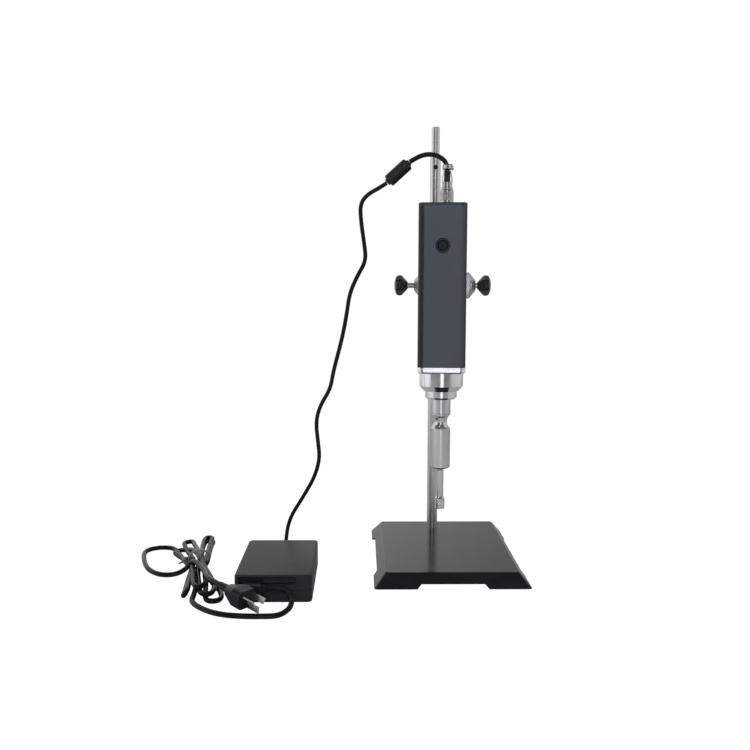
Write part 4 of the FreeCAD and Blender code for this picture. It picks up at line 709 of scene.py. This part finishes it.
def cutBox(piece, low, high, softness):
    freshStart()
    bpy.ops.mesh.primitive_cube_add(size=1, location=[(a + b) / 2 for a, b in zip(low, high)],
                                    scale=[b - a for a, b in zip(low, high)])
    tool = bpy.context.object
    bpy.ops.object.transform_apply(location=True, scale=True)
    rounded(tool, softness, 3, 50)
    bpy.context.view_layer.objects.active = piece
    cut = piece.modifiers.new("opening", "BOOLEAN")
    cut.object, cut.operation, cut.solver = tool, "DIFFERENCE", "EXACT"
    bpy.ops.object.modifier_apply(modifier=cut.name)
    bpy.data.objects.remove(tool)


def adapterCase():
    c = adapterShape
    low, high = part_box("adapter_lower_shell")
    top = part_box("adapter_upper_shell")[1][2]
    upper = adapterHalf("adapterTop", low, high, c["split"], top, 1)
    lower = adapterHalf("adapterBottom", low, high, c["foot"], c["split"], -1)
    left, right = c["recess"]
    front = low[1] - c["clear"]
    cutBox(upper, (low[0] + left, front, c["height"][0]),
           (high[0] - right, low[1] + c["deep"], c["height"][1]), c["recessEdge"])
    x, z, wide, tall, deep = c["inlet"]
    for half in (upper, lower):
        cutBox(half, (x - wide / 2, front, z - tall / 2), (x + wide / 2, low[1] + deep, z + tall / 2),
               c["inletEdge"])
    freshStart()
    feet = []
    radius, thick = c["pad"]
    for i in (-1, 1):
        for j in (-1, 1):
            bpy.ops.mesh.primitive_cylinder_add(vertices=32, radius=radius, depth=thick, location=(
                (low[0] + high[0]) / 2 + i * ((high[0] - low[0]) / 2 - c["padInset"]),
                (low[1] + high[1]) / 2 + j * ((high[1] - low[1]) / 2 - c["padInset"]), thick / 2))
            feet.append(bpy.context.object)
            bpy.ops.object.transform_apply(location=True)
    freshStart()
    for piece in feet + [lower]:
        piece.select_set(True)
    bpy.context.view_layer.objects.active = lower
    bpy.ops.object.join()
    for piece, node in ((upper, "adapter_upper_shell"), (lower, "adapter_lower_shell")):
        freshStart()
        piece.select_set(True)
        bpy.context.view_layer.objects.active = piece
        bpy.ops.object.transform_apply(location=True, rotation=True, scale=True)
        bpy.ops.object.shade_smooth_by_angle(angle=smoothAngle)
        piece.data.materials.clear()
        piece.data.materials.append(finishes["adapter"])
        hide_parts(node)
        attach(piece, "stand")
    freshStart()


buttonRing()
lockScrew()
plugShell()
adapterCase()
tie = bundleTie()
print("cell disruptor: button ring, lock screw, plug shell, adapter case and tie made")


# Cords. The points are millimetres, for the curve that the cord's line follows.

def cordLine(name, points, diameter):
    curve = bpy.data.curves.new(name, "CURVE")
    curve.dimensions = "3D"
    spline = curve.splines.new("NURBS")
    spline.points.add(len(points) - 1)
    for spot, point in zip(spline.points, points):
        spot.co = (*(x / 1000 for x in point), 1.0)
    spline.order_u = 3
    spline.use_endpoint_u = True
    spline.resolution_u = 10
    curve.bevel_depth = diameter / 2
    curve.bevel_resolution = 6
    curve.use_fill_caps = True
    curve.materials.append(finishes["cord"])
    cord = bpy.data.objects.new(name, curve)
    bpy.context.scene.collection.objects.link(cord)
    return cord


def centreLine(cord):
    depth, cord.data.bevel_depth = cord.data.bevel_depth, 0.0
    bare = bpy.data.meshes.new_from_object(cord)
    cord.data.bevel_depth = depth
    line = [v.co.copy() for v in bare.vertices]
    bpy.data.meshes.remove(bare)
    return line


def lineLength(line):
    return sum((b - a).length for a, b in zip(line, line[1:]))


def asTube(cord):  # the same cord as a mesh, whose bounds are its own
    name = cord.name
    tube = bpy.data.objects.new(name + "Tube", bpy.data.meshes.new_from_object(cord))
    bpy.context.scene.collection.objects.link(tube)
    bpy.data.objects.remove(cord)
    tube.data.polygons.foreach_set("use_smooth", [True] * len(tube.data.polygons))
    return tube


outputCord = {
    "thick": 0.0048,
    "diameter": 0.0042,
    "exit": (-0.00427, -0.03839, 0.4075),
    "bead": (-0.0647, -0.038, 0.3953),
    "relief": (-0.1715, -0.0117, 0.0135),
    "upper": [(-4.27, -38.39, 407.5), (-4.6, -38.3, 414.9), (-10.6, -38.1, 420.8),
              (-18.6, -38.0, 423.8), (-27.8, -38.0, 423.3), (-35.6, -38.0, 420.0),
              (-41.8, -38.0, 416.1)],
    "middle": [(-64.7, -38.0, 395.3), (-71.8, -38.0, 390.6), (-84.0, -38.0, 384.0),
               (-91.2, -38.0, 374.5), (-90.3, -38.0, 357.0), (-86.8, -38.0, 334.0),
               (-85.2, -38.0, 318.0), (-94.5, -38.0, 302.0), (-101.8, -38.0, 285.0),
               (-104.6, -38.0, 265.0), (-109.0, -37.6, 241.0)],
    "lower": [(-118.5, -34.5, 205.5), (-121.5, -32.0, 187.5), (-132.5, -29.0, 169.5),
              (-137.0, -26.5, 152.0), (-134.5, -23.0, 128.0), (-133.3, -20.0, 112.0),
              (-139.0, -15.5, 92.0), (-147.5, -9.0, 76.0), (-156.0, 1.0, 60.5),
              (-164.5, 8.5, 46.0), (-169.3, 12.5, 33.5), (-171.2, 11.3, 23.0),
              (-171.5, 5.0, 15.5), (-171.5, -4.0, 12.6), (-171.5, -11.7, 13.5)],
}


def runOutputCord():
    c = outputCord
    top = cordLine("outputCordTop", c["upper"], c["thick"])
    topLine = centreLine(top)
    top = asTube(top)
    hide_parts("dc_cord_upper")
    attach(top, "head")

    # The long run is cut into two halves where its line passes the middle
    joinA, joinB = Vector(c["middle"][-1]), Vector(c["lower"][0])
    meet = tuple((joinA + joinB) / 2)
    runs = []
    for name, points in (("outputCordMiddle", c["middle"] + [meet]),
                         ("outputCordLower", [meet] + c["lower"])):
        cord = cordLine(name, points, c["diameter"])
        line = centreLine(cord)
        tube = asTube(cord)
        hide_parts("dc_cord_lower")
        runs.append((tube, line))
    (middle, middleLine), (lower, lowerLine) = runs
    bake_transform(middle)
    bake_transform(lower)
    lengths = [round(lineLength(line), 3) for line in (topLine, middleLine, lowerLine)]
    print("cell disruptor: output cord", lengths)


mainsLead = {
    "diameter": 0.005,
    "exit": (-0.1757, -0.1468, 0.0165),
    "points": [
        # out of the connector, round the front of the plug and under the folds
        (-175.7, -146.8, 16.5), (-162.0, -147.0, 16.5), (-152.2, -155.9, 12.4), (-152.2, -168.5, 6.7),
        (-162.0, -177.4, 2.7), (-177.6, -178.4, 2.7), (-193.5, -178.0, 2.7), (-209.5, -175.2, 2.7),
        (-224.0, -168.0, 2.7), (-236.2, -156.5, 2.8), (-243.6, -146.5, 3.0), (-246.4, -138.8, 3.2),
        (-247.2, -122.0, 2.7), (-250.5, -92.0, 2.7), (-255.0, -62.0, 2.7), (-257.5, -40.0, 2.7),
        # right fold behind the tie, on the table
        (-260.5, -12.0, 2.7), (-264.2, 14.0, 2.7), (-266.6, 36.0, 2.7), (-266.4, 52.5, 2.7),
        (-257.4, 52.0, 2.7), (-257.4, 34.0, 2.7), (-255.6, 12.0, 2.7), (-253.0, -12.0, 2.7),
        (-252.2, -38.6, 2.7),
        # wide front fold, on the table
        (-246.5, -66.0, 2.7), (-234.5, -92.0, 2.7), (-221.8, -118.0, 2.7), (-219.5, -139.0, 2.7),
        (-232.0, -141.5, 2.7), (-236.8, -124.0, 2.7), (-239.8, -100.0, 2.9), (-246.0, -72.0, 5.0),
        (-250.6, -52.0, 7.6), (-252.2, -38.6, 7.9),
        # right fold, second layer
        (-253.4, -12.0, 7.9), (-256.0, 12.0, 7.9), (-257.9, 32.0, 7.9), (-258.0, 47.5, 8.0),
        (-266.2, 48.0, 8.0), (-266.0, 32.0, 7.9), (-263.6, 12.0, 7.9), (-260.2, -12.0, 7.9),
        (-257.4, -40.0, 7.9),
        # front fold, second layer
        (-254.6, -64.0, 7.9), (-249.0, -92.0, 7.9), (-243.0, -116.0, 7.9), (-239.5, -134.5, 7.9),
        (-229.0, -137.5, 7.9), (-228.0, -118.0, 7.9), (-234.5, -96.0, 7.9), (-245.0, -70.0, 9.5),
        (-253.5, -54.0, 12.4), (-257.2, -40.0, 13.1),
        # left fold behind the tie, the lower of its two loops
        (-264.0, -22.0, 12.6), (-272.0, -4.0, 10.0), (-281.0, 10.0, 5.0), (-288.5, 17.0, 2.8),
        (-294.5, 10.0, 2.8), (-287.0, -4.0, 2.8), (-276.0, -20.0, 3.2), (-263.2, -40.0, 13.1),
        # middle of the front folds, on top
        (-261.0, -58.0, 13.2), (-256.5, -80.0, 13.2), (-252.0, -102.0, 13.0), (-248.0, -121.0, 12.6),
        (-243.0, -131.0, 12.2), (-236.5, -124.0, 12.8), (-237.5, -106.0, 13.1), (-244.0, -84.0, 14.0),
        (-251.0, -60.0, 14.4), (-254.0, -42.0, 15.6),
        # left fold, the upper loop
        (-262.5, -20.0, 12.4), (-267.4, 0.0, 10.5), (-273.8, 18.0, 9.0), (-277.0, 31.0, 8.6),
        (-287.0, 27.5, 8.2), (-283.4, 15.0, 7.6), (-277.0, -2.0, 6.6), (-268.5, -22.0, 7.4),
        (-262.8, -41.2, 7.9),
        # narrow fold at the front left, upper strand down and lower strand back
        (-260.2, -64.0, 7.9), (-257.0, -90.0, 8.0), (-254.4, -112.0, 8.0), (-253.0, -128.0, 7.6),
        (-256.5, -129.5, 2.7), (-257.6, -112.0, 2.7), (-260.2, -88.0, 2.7), (-262.6, -62.0, 2.7),
        (-264.0, -44.0, 3.2),
        # loose loop to the left
        (-271.4, -36.2, 5.0), (-279.6, -15.9, 3.3), (-287.4, 3.4, 2.7), (-295.7, 22.6, 2.7),
        (-308.1, 27.9, 2.7), (-320.8, 23.5, 2.7), (-327.0, 11.6, 2.7), (-322.6, -9.5, 2.7),
        (-316.0, -31.0, 2.7), (-307.0, -51.0, 2.7), (-293.5, -65.5, 2.7), (-278.5, -68.2, 3.2),
        (-267.6, -63.0, 6.4),
        # over the folds to the plug
        (-259.5, -66.0, 17.4), (-252.0, -78.0, 19.4), (-244.5, -95.0, 19.4), (-238.5, -110.0, 19.6),
        (-235.6, -120.6, 20.2), (-232.0, -129.4, 20.6), (-226.4, -137.6, 20.9), (-219.5, -145.3, 20.15),
    ],
}


def runMainsLead():
    c = mainsLead
    lead = cordLine("mainsLead", c["points"], c["diameter"])
    line = centreLine(lead)
    lead = asTube(lead)
    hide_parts("mains_lead_ends", "mains_lead_loop", "mains_hank")
    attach(lead, "stand")
    print("cell disruptor: mains lead", round(lineLength(line), 3))


runOutputCord()
runMainsLead()


# Table, backdrop and light

studio = {
    "floorSize": 2.6, "floor": (0.52, 0.52, 0.52), "fleck": 0.985, "lift": 0.90, "glow": 1.12,
    "fill": 0.24,  # what the matt surfaces see all round
    # what the glossy ones see: the brightness of each card, and the directions it starts and is full at
    "dark": 0.13,
    "left": 1.0, "leftFrom": (0.80, 0.95),
    "right": 0.60, "rightFrom": (0.55, 0.85),
    "behind": 0.62, "behindFrom": (0.10, 0.50),
    "above": 0.12, "aboveFrom": (0.93, 0.99),
    # and an upright strip in front: colour, half width, soft sides, soft start and soft ends
    "strip": (1.50, 1.54, 1.68), "stripHalf": 0.13, "stripSoft": (0.7, 1.3),
    "stripFrom": (0.2, 0.5), "stripEnds": (0.35, 0.55),
}


def layFloor():
    s = studio
    bpy.ops.mesh.primitive_plane_add(size=s["floorSize"], location=(0, 0, 0))
    floor = bpy.context.object
    floor.name = "tableTop"
    f = Finish("tableTop", Roughness=0.6)
    paper = f.noise(300.0, 3.0, 0.6)
    f.set(Base_Color=f.tone(paper, tuple(c * s["fleck"] for c in s["floor"]), s["floor"]))
    seen = f.node("ShaderNodeLightPath", out="Is Camera Ray")
    glow = f.node("ShaderNodeEmission", given={"Color": (1, 1, 1), "Strength": s["glow"]})
    mixed = f.node("ShaderNodeMixShader",
                   given={0: seen * s["lift"], 1: Value(f, f.shader.outputs[0]), 2: glow})
    f.tree.links.new(mixed.socket, f.tree.nodes["Material Output"].inputs["Surface"])
    floor.data.materials.append(f.material)
    freshStart()


def lightWorld():
    s = studio
    world = bpy.data.worlds.new("studio")
    bpy.context.scene.world = world
    world.use_nodes = True
    f = Finish.__new__(Finish)
    f.tree = world.node_tree
    f.place = f.node("ShaderNodeTexCoord", out="Generated")
    x, y, z = f.axes()
    leftCard = (x * -1).ease(*s["leftFrom"]) * s["left"]
    rightCard = x.ease(*s["rightFrom"]) * s["right"]
    lean = (1.20 - x * 3.0).highest(0.60).lowest(1.30)  # brighter to the left
    behind = y.ease(*s["behindFrom"]) * lean * s["behind"]
    above = z.ease(*s["aboveFrom"]) * s["above"]
    cards = behind.highest(leftCard).highest(rightCard).highest(above)
    gloss = f.tone(cards, (s["dark"],) * 3, (1, 1, 1))
    across = 1 - x.size().ease(*(s["stripHalf"] * part for part in s["stripSoft"]))
    strip = across * (y * -1).ease(*s["stripFrom"]) * (1 - z.size().ease(*s["stripEnds"]))
    gloss = f.tone(strip, gloss, s["strip"])
    camera = f.node("ShaderNodeLightPath", out="Is Camera Ray")
    glossy = f.node("ShaderNodeLightPath", out="Is Glossy Ray")
    clear = f.node("ShaderNodeLightPath", out="Is Transmission Ray")
    colour = f.tone(glossy, (s["fill"],) * 3, gloss)
    colour = f.tone(camera.highest(clear), colour, (1, 1, 1))
    f.feed(f.tree.nodes["Background"].inputs["Color"], colour)


lamps = {
    "overhead": {"place": (-0.1, -0.2, 1.9), "aim": (-0.1, 0.0, 0.1), "size": (1.6, 1.2), "watts": 12.0,
                 "shine": False},
    "left": {"place": (-1.5, -1.0, 0.9), "aim": (-0.05, 0.0, 0.22), "size": (0.3, 0.9), "watts": 12.0,
             "shine": False},
    "front": {"place": (0.0, -2.1, 0.6), "aim": (-0.05, 0.0, 0.22), "size": (0.7, 0.9), "watts": 26.0,
              "shine": False},
    "glint": {"place": (-0.75, -1.3, 1.5), "aim": (-0.15, 0.0, 0.15), "size": (0.10, 0.10), "watts": 1.6,
              "shine": True},
}


def hangLamps():
    for name, l in lamps.items():
        made = bpy.data.lights.new(name + "Lamp", "AREA")
        made.shape = "RECTANGLE"
        made.size, made.size_y = l["size"]
        made.energy = l["watts"]
        lamp = bpy.data.objects.new(name + "Lamp", made)
        lamp.visible_glossy = l["shine"]
        bpy.context.scene.collection.objects.link(lamp)
        lamp.location = l["place"]
        way = Vector(l["aim"]) - Vector(l["place"])
        lamp.rotation_euler = way.to_track_quat("-Z", "Y").to_euler()


layFloor()
lightWorld()
hangLamps()
bpy.context.scene.view_settings.view_transform = "Standard"
print("cell disruptor: studio lit")

bpy.context.view_layer.update()
